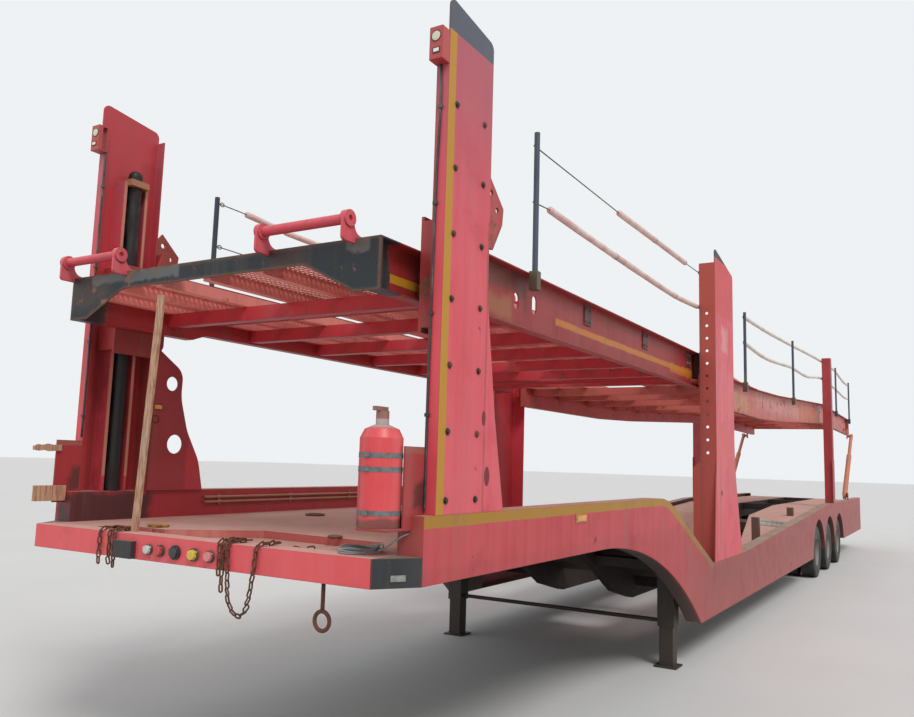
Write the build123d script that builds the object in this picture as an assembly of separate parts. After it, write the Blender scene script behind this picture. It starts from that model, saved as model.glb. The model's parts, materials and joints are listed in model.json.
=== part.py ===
from build123d import *
import math
import os

# Car transporter semi-trailer. Sizes are in millimetres: X forward, Y to the left, Z up from the ground.
# A station is a distance back from the foremost point of the trailer.

# Overall sizes
LENGTH = 18200
WIDTH = 2500
HALF_WIDTH = WIDTH / 2

# Side frames, seen from the side
SKIN = 8
FRAME_DEPTH = 130
INNER_Y = HALF_WIDTH - FRAME_DEPTH
FRAME_START = 220
FRAME_END = LENGTH
NECK_TOP = 1412
NECK_BOTTOM = 1125
NECK_BEND = 3609
NECK_BEND_RADIUS = 850
NECK_CURVE_START = 2250
NECK_CURVE_RADIUS = 3830
LOW_START = 5004
LOW_CORNER_RADIUS = 260
LOW_TOP = 803
LOW_BOTTOM = 344
RISE_START = 6300
RISE_END = 12900
REAR_TOP = 1095
REAR_BOTTOM = 400
ARCH_REACH = 400

# Running gear
AXLE_STATIONS = (11670, 12980, 14290)
TYRE_RADIUS = 398.5
TYRE_WIDTH = 233
TYRE_ROUND = 38
TYRE_BULGE = 70
TREAD_DROP = 8
RIM_RADIUS = 222
RIM_WALL = 9
RIM_DISC = 14
RIM_LINK = 80
RIM_HOLES = 8
RIM_HOLE_REACH = 160
RIM_HOLE_RADIUS = 26
TWIN_SPACING = 265
TYRE_GAP_TO_SKIN = 18
HUB_RADIUS = 110
HUB_LENGTH = 130
HUB_BORE_GAP = 0.4
STUB_RADIUS = 40
AXLE_RADIUS = 64
AXLE_TO_TYRE = 10
ARCH_RADIUS = 679
ARCH_CENTRE_Z = 217
ARM_Y = 500
ARM_WIDTH = 80
ARM_FRONT = 520
ARM_REAR = 500
ARM_FRONT_Z = 560
ARM_DEPTH = 80
HANGER_LENGTH = 90
HANGER_TOP = 830
HANGER_BOTTOM = 540
SPRING_Y = 540
SPRING_RADIUS = 122
SPRING_WAIST = 0.86
SPRING_PLATE = 12
SPRING_PLATE_Z = 800
FLAP_STATION = 14860
FLAP_PLATE = 10
FLAP_BOTTOM = 170
FLAP_WIDTH = 400

# Front beam, floors and frame members
BEAM_FRONT = 32
BEAM_DEPTH = 120
BEAM_TOP = 1245
BEAM_HALF = 1125
FLOOR_PLATE = 6
SHELF_TOP = 1206
SHELF_END = 650
FLOOR_EDGE = 600
NOTCH_STATION = 640
NOTCH_Y = -40
TONGUE_STATION = 300
TONGUE_Y = -420
FLOOR_WING_Y = 780
RAMP_FOOT = 5280
LOW_FLOOR_Z = 600
AXLE_RAMP_START = 10350
AXLE_RAMP_END = 10950
AXLE_RAMP_Z = 940
REAR_FLOOR_START = 12900
REAR_FLOOR_Z = 1032
FLOOR_END = LENGTH - 40
TRACK_INNER = 330
RAIL_OUTER = 400
RAIL_KNEE = 200
RAIL_BOTTOM = 380
RAIL_REAR_BOTTOM = 780
MEMBER_WIDTH = 70
MEMBER_HEIGHT = 110
NECK_MEMBERS = (660, 1500, 2300, 3100)
LAST_MEMBER = FLOOR_END - 100
LOW_MEMBERS = (5400, 6500, 7600, 8700, 9800, 10780, 12290, 13600, FLAP_STATION, 16100, 17200, LAST_MEMBER)
PANEL_PLATE = 12
PANEL_BOTTOM = 800
LAMP_HALF = 175
LAMP_Y = 860
LAMP_LOW = 868
LAMP_HIGH = 972
BUMPER_DEPTH = 100
BUMPER_Z = 400

# Coupling
PIN_STATION = 1000
PIN_RADIUS = 25.4
PIN_COLLAR_RADIUS = 36.5
PIN_FLANGE_RADIUS = 35.7
PIN_COLLAR = 16
PIN_NECK = 35
PIN_FLANGE = 33
COUPLING_PLATE = 10
COUPLING_START = 590
COUPLING_END = 1500

# Front columns
FC_FRONT = 306
FC_REAR = 719
FC_TOP_FRONT = 3765
FC_TOP_REAR = 3712
FC_WEB = 8
FC_SWELL_Z = 2420
FC_SWELL_RADIUS = 900
FC_WAIST = 816
FC_WAIST_Z = 1855
FC_FOOT = 920
TIP_RADIUS = 40
FC_LIP_Y = 1184
FC_LIP_TOP = 3520
FC_REAR_LIP_Y = 1180
FC_REAR_LIP_TOP = 3643
SLIDE_RAIL_INNER = 1148
FRONT_SLIDE_RAIL = (424, 444)
REAR_SLIDE_RAIL = (576, 596)
SLIDE_RAIL_TOP = 3290
GUSSET_INNER = 1100
GUSSET_PLATE = 10
GUSSET_REAR = 1145
GUSSET_TOP = 2300
# Rear edge of the gusset: station, Z, corner radius
GUSSET_EDGE = ((1100, 1600, 300), (990, 1790, 300), (925, 2000, 300), (930, 2160, 100))
# Holes in the gusset: station, Z, radius
GUSSET_HOLES = ((850, 2080, 45), (900, 1700, 60))
LIFT_STATION = 510
LIFT_Y = 1168
LIFT_RADIUS = 42
LIFT_TOP = 3380
COLLAR_Z = 3268
COLLAR_HEIGHT = 40
COLLAR_LENGTH = 130
COLLAR_Y = 1112
COLLAR_GAP = 0.3
COLUMN_LAMP_Y = 1180
COLUMN_LAMP_Z = 3436
COLUMN_LAMP_HEIGHT = 156
COLUMN_LAMP_DEPTH = 64
COLUMN_LAMP_WALL = 8
COLUMN_LAMP_FRONT = 26
COLUMN_LENS_RADIUS = 27
COLUMN_LENS_HEIGHT = 110
COLUMN_LENS_REACH = 5

# Deck carriages
SLIDE_GAP = 0.4
CARRIAGE_INNER = 1076
CARRIAGE_OUTER = 1092
CARRIAGE_SLOT = (472, 594)
CARRIAGE_SLOT_HALF = 38
# Side outline of a carriage: station, Z
CARRIAGE_OUTLINE = (
    (384, 2220),
    (384, 2760),
    (640, 2760),
    (690, 2900),
    (739, 2900),
    (739, 2300),
    (700, 2220),
)
# Rear arm of a carriage, behind the column's rear lip: outline as station and Z, and its two Y
ARM_OUTLINE = ((727, 2690), (727, 2990), (775, 3050), (915, 2925), (905, 2840), (812, 2690))
ARM_Y_SPAN = (1207, 1219)
ARM_LINK = (727, 739, 2690, 2900)
# Holes in the rear arm: station, Z, radius
ARM_HOLES = ((785, 2975, 16), (848, 2900, 16))
BLOCK_LENGTH = 39.6
BLOCK_GAP = 17
BLOCK_LOW = 2240
BLOCK_HIGH = 2740

# Mid and rear columns
MC_FRONT = 5140
MC_REAR = 5870
MC_TOP_FRONT = 3740
MC_TOP_REAR = 3605
MC_FLANGE = 10
MC_INNER = 1100
MC_FLARE_INNER = 1034
MC_FLARE_TOP = 1710
MC_FLARE_STEP = 60
MC_SWELL_RADIUS = 2000
MC_FOOT_FRONT = 5062
MC_FOOT_REAR = 6160
MC_FLANGE_TOP = 3600
MC_HOLE_RADIUS = 14
MC_HOLE_Y = 1170
MC_HOLE_START = 1790
MC_HOLE_PITCH = 120
MC_HOLE_COUNT = 12
SHOE_INNER = 1085
SHOE_OUTER = 1142
SHOE_HALF = 56
SHOE_HEIGHT = 65
SHOE_PIN_BACK = 7
RC_FRONT = 13590
RC_REAR = 13760
RC_TOP = 3710
RC_INNER = 1105
RC_WALL = 10
RC_SLEEVE = 40
RC_SLEEVE_TOP = 1860

# Upper decks
DECK_HALF = 1069
DECK_WEB_Y = 1000
DECK_PLATE = 8
DECK_PIVOT_Z = 2460
DECK_PIN_RADIUS = 30
PIN_GAP = 0.5
NOSE_STATION = 87
NOSE_PLATE = 8
NOSE_LIP = 100
NOSE_TIP_RADIUS = 25
NOSE_HOLLOW_RADIUS = 130
NOSE_LOW = 2364
NOSE_HIGH = 2602
NOSE_MIDDLE_LOW = 2510
NOSE_FLAT_Y = 640
NOSE_TIP_Y = 930
STEP_START = 900
STEP_END = 1010
DECK_LOW = 2405
DECK_HIGH = 2742
FRONT_DECK_END = 5290
FRONT_PIVOT = 5205
AFT_PIVOT = 5805
AFT_DECK_START = 5700
AFT_DECK_END = LENGTH - 50
AFT_LAST = AFT_DECK_END - 90
FRONT_FLOOR_Z = 2562
AFT_FLOOR_DROP = 80
STRINGER_WIDTH = 50
STRINGER_HEIGHT = 60
DECK_MEMBER_HEIGHT = 80
STRINGER_Y = (TRACK_INNER, 640, 950)
FRONT_DECK_MEMBERS = (700, 1400, 2100, 2800, 3500, 4200, 4900)
AFT_DECK_MEMBERS = (5880, 6600, 7500, 8500, 9500, 10600, 11700, 12800, 13900, 15000, 16100, 17200, AFT_LAST)
AFT_TOP = ((AFT_DECK_START, 2640), (8100, 2640), (9400, 2680), (13900, 2895), (AFT_DECK_END, 2850))
AFT_BEAM_HEIGHT = 360
# Holes in the front deck's webs: station, Z, half height
DECK_HOLES = ((1490, 2573, 48), (1728, 2588, 57))
WEB_HOLE_HALF = 30
SLOT_ROUND = 0.98
DECK_BRACKETS = (2562, 3797, 5064)
DECK_BRACKET_LOW = 2596
BRACKET_HALF = 60
AFT_SLOTS = (8591, 9115, 9640, 10258, 10881, 11502)
AFT_SLOT_LINE = ((AFT_SLOTS[0], 2490), (AFT_SLOTS[-1], 2705))
AFT_SLOT_HEIGHT = 96
AFT_SLOT_WIDTH = 30
CROSS_TUBE_STATION = 4650
CROSS_TUBE_Z = 2445
CROSS_TUBE_RADIUS = 28

# Wheel stops on the nose
STOP_STATION = 38
STOP_Z = 2680
STOP_BOSS = 38
STOP_TUBE = 24
STOP_LUG = 16
STOP_FOOT_REAR = 170
STOP_FOOT_LOW = 2578
STOP_CORNER = 18
STOP_EYE = 13
STOP_EYE_DEPTH = 12
STOP_FOOT_EDGE = 15
STOP_HOLLOW = 50
STOP_SPANS = ((-1061, -614), (412, 922))

# Deck posts and their ropes
POST_Y = 1095
POST_RADIUS = 17
POST_SOCKET = 26
POST_SOCKET_HEIGHT = 110
POST_SOCKET_DROP = 102
# Front deck posts: station, side, height of the top
FRONT_POSTS = ((1550, 1, 3592), (1110, -1, 3380), (5262, 1, 3560), (5262, -1, 3560))
# Aft deck posts, the same on both sides: station, height of the top
AFT_POSTS = ((7170, 3470), (10500, 3600), (15700, 3770), (AFT_LAST, 3690))
WIRE_RADIUS = 4
FOAM_RADIUS = 24
WIRE_GAP = 0.2
ROPE_Y = POST_Y - POST_RADIUS - WIRE_RADIUS - WIRE_GAP
# Wires of the front deck: side, (station, Z) points, stretches of points with a foam sleeve
FRONT_ROPES = (
    (1, ((1550, 3518), (3004, 3509), (4757, 3524), (5262, 3532)), ((1, 2),)),
    (
        1,
        ((1550, 3172), (1790, 3190), (2506, 3172), (3590, 3156), (4427, 3152), (5160, 3185), (5262, 3190)),
        ((1, 5),),
    ),
    (-1, ((1110, 3333), (1365, 3328), (1730, 3306), (2130, 3295), (5120, 3290), (5262, 3300)), ((1, 4),)),
    (-1, ((1110, 3037), (3100, 3015), (5262, 3030)), ()),
)
# Wires of the aft deck, the same on both sides
AFT_ROPES = (
    (
        ((7170, 3422), (7260, 3425), (8581, 3456), (10410, 3530), (10590, 3539), (12081, 3609), (13809, 3679),
         (15610, 3722), (15790, 3725), (17179, 3636), (AFT_LAST - 90, 3631), (AFT_LAST, 3630)),
        ((1, 3), (4, 7), (8, 10)),
    ),
    (
        ((7170, 3121), (7260, 3119), (8547, 3094), (10410, 3193), (10590, 3196), (12017, 3215), (13747, 3356),
         (15610, 3347), (15790, 3346), (17179, 3298), (AFT_LAST - 90, 3312), (AFT_LAST, 3314)),
        ((1, 3), (4, 7), (8, 10)),
    ),
)

# Tail struts
STRUT_TOP = AFT_DECK_END - 450
STRUT_BASE = STRUT_TOP - 1600
STRUT_BASE_Z = 1170
STRUT_TOP_Z = 2450
STRUT_Y = 1160
STRUT_BARREL_RADIUS = 48
STRUT_ROD_RADIUS = 34
STRUT_ROD_GAP = 1
STRUT_BARREL_SHARE = 0.659
STRUT_BARREL_FLOOR = 70
STRUT_ROD_OVERLAP = 650
STRUT_EYE_RADIUS = 60
STRUT_ROD_EYE = 50
STRUT_EYE_WIDTH = 60
STRUT_LAP = 20
STRUT_PIN_RADIUS = 25
STRUT_PLATE = 12
STRUT_CLEAR = 6
EAR_LAP = 125

# Landing legs
LEG_STATION = 4360
LEG_Y = 1025
LEG_SIZE = 140
LEG_INNER_SIZE = 116
LEG_SLEEVE_BOTTOM = 330
LEG_TOP = 900
FOOT_SIZE = 190
FOOT_PLATE = 14
LEG_BEAM_LOW = 780
LEG_BEAM_HEIGHT = 80
BRACE_Z = 366
BRACE_RADIUS = 17

# Fittings at the front
BOTTLE_STATION = 128
BOTTLE_Y = 1085
BOTTLE_RADIUS = 92
BOTTLE_BOTTOM = 1362
BOTTLE_TOP = 1787
BOTTLE_SHOULDER = 55
VALVE_RADIUS = 28
VALVE_TOP = 1845
HANDLE_REACH = 60
HANDLE_HALF = 9
HOLDER_Y = 1184
HOLDER_PLATE = 8
HOLDER_FRONT = 150
HOLDER_TOP = 1700
HOLDER_LOW = 1352
HOLDER_FOOT = 10
COUPLING_Z = 1180
CAP_SHARE = 0.75
# Air and electric couplings on the front beam: Y, radius, reach forward of the beam
COUPLINGS = ((-201, 26, 26), (-117, 28, 30), (-14, 34, 24), (115, 30, 30), (217, 28, 26))
VALVE_BOX = (-430, -300, 1128, 1212)
PIPE_Y = 1106
PIPE_RADIUS = 9
PIPE_HEIGHTS = (1330, 1362)
PIPE_SPAN = (1180, 3560)
PIPE_CLAMPS = (1300, 2000, 2700, 3400)
# Stands on the low floor: station, height of the top
STANDS = ((8590, 1040), (11190, 1080))
STAND_Y = 900
STAND_SIZE = 90
# The perforated rail's middle line: station, Z
PERFORATED_LINE = ((8635, 985), (10680, 836))
PERFORATED_HEIGHT = 90
PERFORATED_WIDTH = 30
PERFORATIONS = 12
PERFORATION = (52, 19)
LATH_TOP = (44, -262, 2436)
LATH_FOOT = (112, -420, BEAM_TOP)
LATH_WIDTH = 44
LATH_THICKNESS = 14
ROPE_RADIUS = 4.5
# Centre, outer and inner half sizes and height of the rope coil on the beam
COIL_STATION = 196
COIL_Y = 945
COIL_OUTER = (128, 105)
COIL_INNER = (78, 52)
COIL_HEIGHT = 36
# Route of the loose end of the rope: station, Y, Z
ROPE_ROUTE = (
    (220, 1178, 1336),
    (192, 1178, 1336),
    (166, 1156, 1316),
    (150, 1118, 1282),
    (158, 1074, 1264),
    (180, 1054, 1262),
)
# Chains: station, Y, Z and, at a sharp bend, its radius
CHAIN_RADIUS = 7
CHAIN_BEND = 60
CHAINS = (
    ((140, -560, 1252.05), (23, -566, 1254, 9), (23, -566, 1100)),
    ((145, -486, 1252.05), (23, -490, 1254, 9), (23, -490, 1105)),
    ((130, -455, 1252.05), (23, -452, 1254, 9), (23, -452, 1092)),
    (
        (172, -690, 1213),
        (232, -620, 1213),
        (196, -520, 1213),
        (262, -440, 1213),
        (222, -350, 1213),
        (182, -280, 1213),
    ),
    ((130, 280, 1252.05), (23, 284, 1254, 9), (23, 284, 1120)),
    ((130, 312, 1252.05), (23, 306, 1254, 9), (23, 306, 1050)),
    (
        (140, 345, 1252.05),
        (23, 335, 1254, 9),
        (23, 350, 1010),
        (23, 427, 940),
        (23, 490, 1080),
        (23, 512, 1254, 9),
        (145, 515, 1252.05),
    ),
    ((170, 430, 1213), (232, 452, 1213), (300, 492, 1213), (360, 530, 1213)),
)
RING_PLACE = (90, 840, 961)
RING_RADIUS = 40
RING_BAR = 9
GEAR_BAR = 8
# Rings that lie loose: station, Y, height under them, radius
GEAR_RINGS = ((378, -567, BEAM_TOP, 50), (600, 476, BEAM_TOP, 30), (1760, -650, BEAM_TOP, 60))


def at(station):
    """X of a station."""
    return LENGTH / 2 - station


def slab(station0, station1, y0, y1, z0, z1):
    """Box between two stations, two Y values and two heights."""
    size = Box(abs(station1 - station0), abs(y1 - y0), abs(z1 - z0))
    return Pos(at((station0 + station1) / 2), (y0 + y1) / 2, (z0 + z1) / 2) * size


def side_point(station, z):
    """A point on the centre plane."""
    return Vector(at(station), 0, z)


def corner_arc(before, corner, after, radius):
    """Start, middle and end of the arc that rounds a corner."""
    to_before = (before - corner).normalized()
    to_after = (after - corner).normalized()
    half = math.radians(to_before.get_angle(to_after)) / 2
    reach = radius / math.tan(half)
    middle = (to_before + to_after).normalized() * (radius / math.sin(half) - radius)
    return corner + to_before * reach, corner + middle, corner + to_after * reach


def rounded_face(corners, radii):
    """Face of a closed outline whose corners have radii, 0 for a sharp one."""
    stops = []
    for index, corner in enumerate(corners):
        if radii[index]:
            after = corners[(index + 1) % len(corners)]
            stops.append(corner_arc(corners[index - 1], corner, after, radii[index]))
        else:
            stops.append((corner, None, corner))
    edges = []
    for (start, middle, end), following in zip(stops, stops[1:] + stops[:1]):
        if middle is not None:
            edges.append(ThreePointArc(start, middle, end))
        edges.append(Line(end, following[0]))
    return make_face(edges)


def side_plate(points, y0, y1):
    """Plate from a side outline of (station, z) or (station, z, corner radius) points, between two Y."""
    face = rounded_face([side_point(p[0], p[1]) for p in points], [p[2] if len(p) > 2 else 0 for p in points])
    return Pos(0, y0, 0) * extrude(face, amount=y1 - y0, dir=(0, 1, 0))


def cross_plate(points, station, thickness):
    """Plate from an end outline of (y, z) or (y, z, corner radius) points, running back from a station."""
    face = rounded_face([Vector(0, p[0], p[1]) for p in points], [p[2] if len(p) > 2 else 0 for p in points])
    return Pos(at(station), 0, 0) * extrude(face, amount=thickness, dir=(-1, 0, 0))


def plan_plate(points, z0, z1):
    """Plate from a plan outline of (station, y) points, between two heights."""
    face = rounded_face([Vector(at(s), y, 0) for s, y in points], [0] * len(points))
    return Pos(0, 0, z0) * extrude(face, amount=z1 - z0, dir=(0, 0, 1))


def rod_y(station, z, radius, y0, y1):
    """Round bar along Y."""
    return Pos(at(station), (y0 + y1) / 2, z) * Rot(90, 0, 0) * Cylinder(radius, abs(y1 - y0))


def rod_z(station, y, radius, z0, z1):
    """Round upright bar."""
    return Pos(at(station), y, (z0 + z1) / 2) * Cylinder(radius, z1 - z0)


def rod_x(station0, station1, y, z, radius):
    """Round bar along X."""
    bar = Rot(0, 90, 0) * Cylinder(radius, abs(station1 - station0))
    return Pos(at((station0 + station1) / 2), y, z) * bar


def straight_run(start, end, radius):
    """Round bar between two points."""
    span = end - start
    return Plane(origin=start, z_dir=span) * Pos(0, 0, span.length / 2) * Cylinder(radius, span.length)


def other_side(shape):
    """The same shape on the right side."""
    return mirror(shape, about=Plane.XZ)


def on_sides(shape):
    """A shape and its twin on the right side."""
    return [shape, other_side(shape)]


def fuse(*shapes):
    """One shape from several."""
    total = Part()
    for shape in shapes:
        total = total + shape
    return total


def save(name, *shapes):
    """Write a node from its solids."""
    solids = [solid for shape in shapes for solid in shape.solids()]
    export_step(solids[0] if len(solids) == 1 else Compound(children=solids), f"parts/{name}.step")


def frame_edges(inset):
    """Side frame outline, moved in by an amount."""
    shift = inset * math.tan(math.atan2(NECK_TOP - LOW_TOP, LOW_START - NECK_BEND) / 2)
    front = side_point(FRAME_START + inset, NECK_TOP - inset)
    bend = side_point(NECK_BEND - shift, NECK_TOP - inset)
    foot = side_point(LOW_START - shift, LOW_TOP - inset)
    rise = side_point(RISE_START, LOW_TOP - inset)
    bend_arc = corner_arc(front, bend, foot, NECK_BEND_RADIUS - inset)
    foot_arc = corner_arc(bend, foot, rise, LOW_CORNER_RADIUS + inset)
    radius = NECK_CURVE_RADIUS + inset
    centre_z = NECK_BOTTOM - NECK_CURVE_RADIUS
    run = math.sqrt(radius ** 2 - (LOW_BOTTOM + inset - centre_z) ** 2)
    curve_end = side_point(NECK_CURVE_START + run, LOW_BOTTOM + inset)
    curve_middle = side_point(NECK_CURVE_START + run / 2, centre_z + math.sqrt(radius ** 2 - (run / 2) ** 2))
    curve_start = side_point(NECK_CURVE_START, NECK_BOTTOM + inset)
    chain = [
        foot_arc[2],
        rise,
        side_point(RISE_END, REAR_TOP - inset),
        side_point(FRAME_END - inset, REAR_TOP - inset),
        side_point(FRAME_END - inset, REAR_BOTTOM + inset),
        side_point(AXLE_STATIONS[2] + ARCH_REACH, REAR_BOTTOM + inset),
        side_point(AXLE_STATIONS[0] - ARCH_REACH, LOW_BOTTOM + inset),
        curve_end,
    ]
    lines = [Line(front, bend_arc[0]), ThreePointArc(*bend_arc), Line(bend_arc[2], foot_arc[0])]
    lines.append(ThreePointArc(*foot_arc))
    lines += [Line(a, b) for a, b in zip(chain, chain[1:])]
    lines.append(ThreePointArc(curve_end, curve_middle, curve_start))
    lines.append(Line(curve_start, side_point(FRAME_START + inset, NECK_BOTTOM + inset)))
    lines.append(Line(side_point(FRAME_START + inset, NECK_BOTTOM + inset), front))
    return lines


def arches(radius):
    """Wheel arch cutters for the left side."""
    return fuse(*[rod_y(s, ARCH_CENTRE_Z, radius, INNER_Y - SKIN, HALF_WIDTH + SKIN) for s in AXLE_STATIONS])


def frame_solid(inset, y0, y1):
    """Side frame outline as a solid with its arches cut."""
    face = make_face(frame_edges(inset))
    return Pos(0, y0, 0) * extrude(face, amount=y1 - y0, dir=(0, 1, 0)) - arches(ARCH_RADIUS + inset)


def side_frame():
    """Left side frame: skin, edge flanges and the inner wall of the neck."""
    shell = frame_solid(0, INNER_Y, HALF_WIDTH) - frame_solid(SKIN, INNER_Y - 1, HALF_WIDTH - SKIN)
    wall = frame_solid(0, INNER_Y, INNER_Y + SKIN) & slab(0, LOW_START, 0, HALF_WIDTH, 0, NECK_TOP)
    return fuse(shell, wall)


def ramp_z(station):
    """Top of the ramp between the neck floor and the low floor."""
    share = (station - NECK_BEND) / (RAMP_FOOT - NECK_BEND)
    return BEAM_TOP + share * (LOW_FLOOR_Z - BEAM_TOP)


def low_floor_line():
    """Top of the low floor as (station, z) points."""
    return [
        (RAMP_FOOT, LOW_FLOOR_Z),
        (AXLE_RAMP_START, LOW_FLOOR_Z),
        (AXLE_RAMP_END, AXLE_RAMP_Z),
        (REAR_FLOOR_START, REAR_FLOOR_Z),
        (FLOOR_END, REAR_FLOOR_Z),
    ]


def height_on(line, station):
    """Height of a line of (station, z) points at a station."""
    for (s0, z0), (s1, z1) in zip(line, line[1:]):
        if station <= s1:
            return z0 + (z1 - z0) * (station - s0) / (s1 - s0)
    return line[-1][1]


def strip(line, drop, depth, y0, y1):
    """Plate that follows a line of (station, z) points at a drop below it."""
    upper = [(s, z - drop) for s, z in line]
    lower = [(s, z - drop - depth) for s, z in reversed(line)]
    return side_plate(upper + lower, y0, y1)


def member(line, drop, depth, station, y0, y1):
    """Cross member whose top follows a line at a drop below it."""
    ends = [(s, height_on(line, s)) for s in (station, station + MEMBER_WIDTH)]
    return strip(ends, drop, depth, y0, y1)


def front_beam():
    """Front cross beam between the corner pieces."""
    return slab(BEAM_FRONT, BEAM_FRONT + BEAM_DEPTH, -BEAM_HALF, BEAM_HALF, NECK_BOTTOM, BEAM_TOP)


def beam_corner():
    """Left corner piece that joins the beam to the side frame."""
    points = [
        (BEAM_FRONT, BEAM_HALF),
        (FRAME_START, HALF_WIDTH),
        (FRAME_START, INNER_Y),
        (BEAM_FRONT + BEAM_DEPTH, INNER_Y),
        (BEAM_FRONT + BEAM_DEPTH, BEAM_HALF),
    ]
    return plan_plate(points, NECK_BOTTOM, BEAM_TOP)


def couplings():
    """Air and electric couplings on the front of the beam, each a stub with a narrower cap."""
    solids = []
    for y, radius, reach in COUPLINGS:
        stub = rod_x(BEAM_FRONT - reach / 2, BEAM_FRONT, y, COUPLING_Z, radius)
        cap = rod_x(BEAM_FRONT - reach, BEAM_FRONT - reach / 2, y, COUPLING_Z, radius * CAP_SHARE)
        solids.append(fuse(stub, cap))
    return solids


def valve_box():
    """Box on the front of the beam beside the couplings."""
    return slab(0, BEAM_FRONT, *VALVE_BOX)


def neck_floor():
    """Neck floor with its stepped front edge, side wings and shelf, and the ramp down to the low floor."""
    edge = [(FLOOR_EDGE, FLOOR_WING_Y), (NOTCH_STATION, NOTCH_Y), (TONGUE_STATION, TONGUE_Y)]
    edge.append((TONGUE_STATION, -FLOOR_WING_Y))
    beam_rear = BEAM_FRONT + BEAM_DEPTH
    outline = [(beam_rear, INNER_Y), (beam_rear, FLOOR_WING_Y)] + edge + [(beam_rear, -FLOOR_WING_Y)]
    outline += [(beam_rear, -INNER_Y), (NECK_BEND, -INNER_Y), (NECK_BEND, INNER_Y)]
    under = BEAM_TOP - FLOOR_PLATE
    plate = plan_plate(outline, under, BEAM_TOP)
    lip = plan_plate(edge + [(s + FLOOR_PLATE, y) for s, y in reversed(edge)], SHELF_TOP, under)
    shelf = slab(beam_rear, SHELF_END, -INNER_Y, INNER_Y, SHELF_TOP - FLOOR_PLATE, SHELF_TOP)
    ramp = strip([(NECK_BEND, BEAM_TOP), (RAMP_FOOT, LOW_FLOOR_Z)], 0, FLOOR_PLATE, -INNER_Y, INNER_Y)
    return fuse(plate, lip, shelf, ramp)


def low_floor():
    """Two wheel tracks of the low floor."""
    return on_sides(strip(low_floor_line(), 0, FLOOR_PLATE, TRACK_INNER, INNER_Y))


def rails():
    """Two inner rails from the front beam to the rear panel."""
    under = BEAM_TOP - FLOOR_PLATE
    beam_rear = BEAM_FRONT + BEAM_DEPTH
    link = slab(beam_rear, SHELF_END, TRACK_INNER, RAIL_OUTER, NECK_BOTTOM, SHELF_TOP - FLOOR_PLATE)
    neck = slab(SHELF_END, NECK_BEND, TRACK_INNER, RAIL_OUTER, NECK_BOTTOM, under)
    top = [(s, z - FLOOR_PLATE) for s, z in low_floor_line()]
    bottom = [
        (FLOOR_END, RAIL_REAR_BOTTOM),
        (AXLE_RAMP_END + MEMBER_HEIGHT, RAIL_REAR_BOTTOM),
        (AXLE_RAMP_START - MEMBER_HEIGHT, RAIL_BOTTOM),
        (RAMP_FOOT, RAIL_BOTTOM),
        (LOW_START - RAIL_KNEE, LOW_FLOOR_Z - MEMBER_HEIGHT),
        (NECK_BEND, NECK_BOTTOM),
        (NECK_BEND, under),
    ]
    return on_sides(fuse(link, neck, side_plate(top + bottom, TRACK_INNER, RAIL_OUTER)))


def cross_members():
    """Cross members under the floors, between the rails and out to the side frames."""
    solids = []
    for station in NECK_MEMBERS:
        spans = [(RAIL_OUTER, INNER_Y), (-INNER_Y, -RAIL_OUTER), (-TRACK_INNER, TRACK_INNER)]
        low = NECK_BOTTOM + COUPLING_PLATE
        for y0, y1 in spans:
            solids.append(slab(station, station + MEMBER_WIDTH, y0, y1, low, BEAM_TOP - FLOOR_PLATE))
    for index, station in enumerate(LOW_MEMBERS):
        left = member(low_floor_line(), FLOOR_PLATE, MEMBER_HEIGHT, station, RAIL_OUTER, INNER_Y)
        solids += on_sides(left)
        if index % 2:
            middle = member(low_floor_line(), FLOOR_PLATE, MEMBER_HEIGHT, station, -TRACK_INNER, TRACK_INNER)
            solids.append(middle)
    return solids


def leg_beams():
    """Beams that carry the landing legs, between the rails and the side frames."""
    low, high = LEG_BEAM_LOW, LEG_BEAM_LOW + LEG_BEAM_HEIGHT
    s0, s1 = LEG_STATION - LEG_SIZE / 2, LEG_STATION + LEG_SIZE / 2
    inner = slab(s0, s1, RAIL_OUTER, LEG_Y - LEG_SIZE / 2, low, high)
    outer = slab(s0, s1, LEG_Y + LEG_SIZE / 2, INNER_Y, low, high)
    return on_sides(inner) + on_sides(outer) + [slab(s0, s1, -TRACK_INNER, TRACK_INNER, low, high)]


def kingpin():
    """Coupling plate with its pin."""
    top = NECK_BOTTOM
    plate = slab(COUPLING_START, COUPLING_END, -TRACK_INNER, TRACK_INNER, top, top + COUPLING_PLATE)
    collar = rod_z(PIN_STATION, 0, PIN_COLLAR_RADIUS, top - PIN_COLLAR, top)
    neck = rod_z(PIN_STATION, 0, PIN_RADIUS, top - PIN_COLLAR - PIN_NECK, top - PIN_COLLAR)
    low = top - PIN_COLLAR - PIN_NECK
    flange = rod_z(PIN_STATION, 0, PIN_FLANGE_RADIUS, low - PIN_FLANGE, low)
    return fuse(plate, collar, neck, flange)


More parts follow.
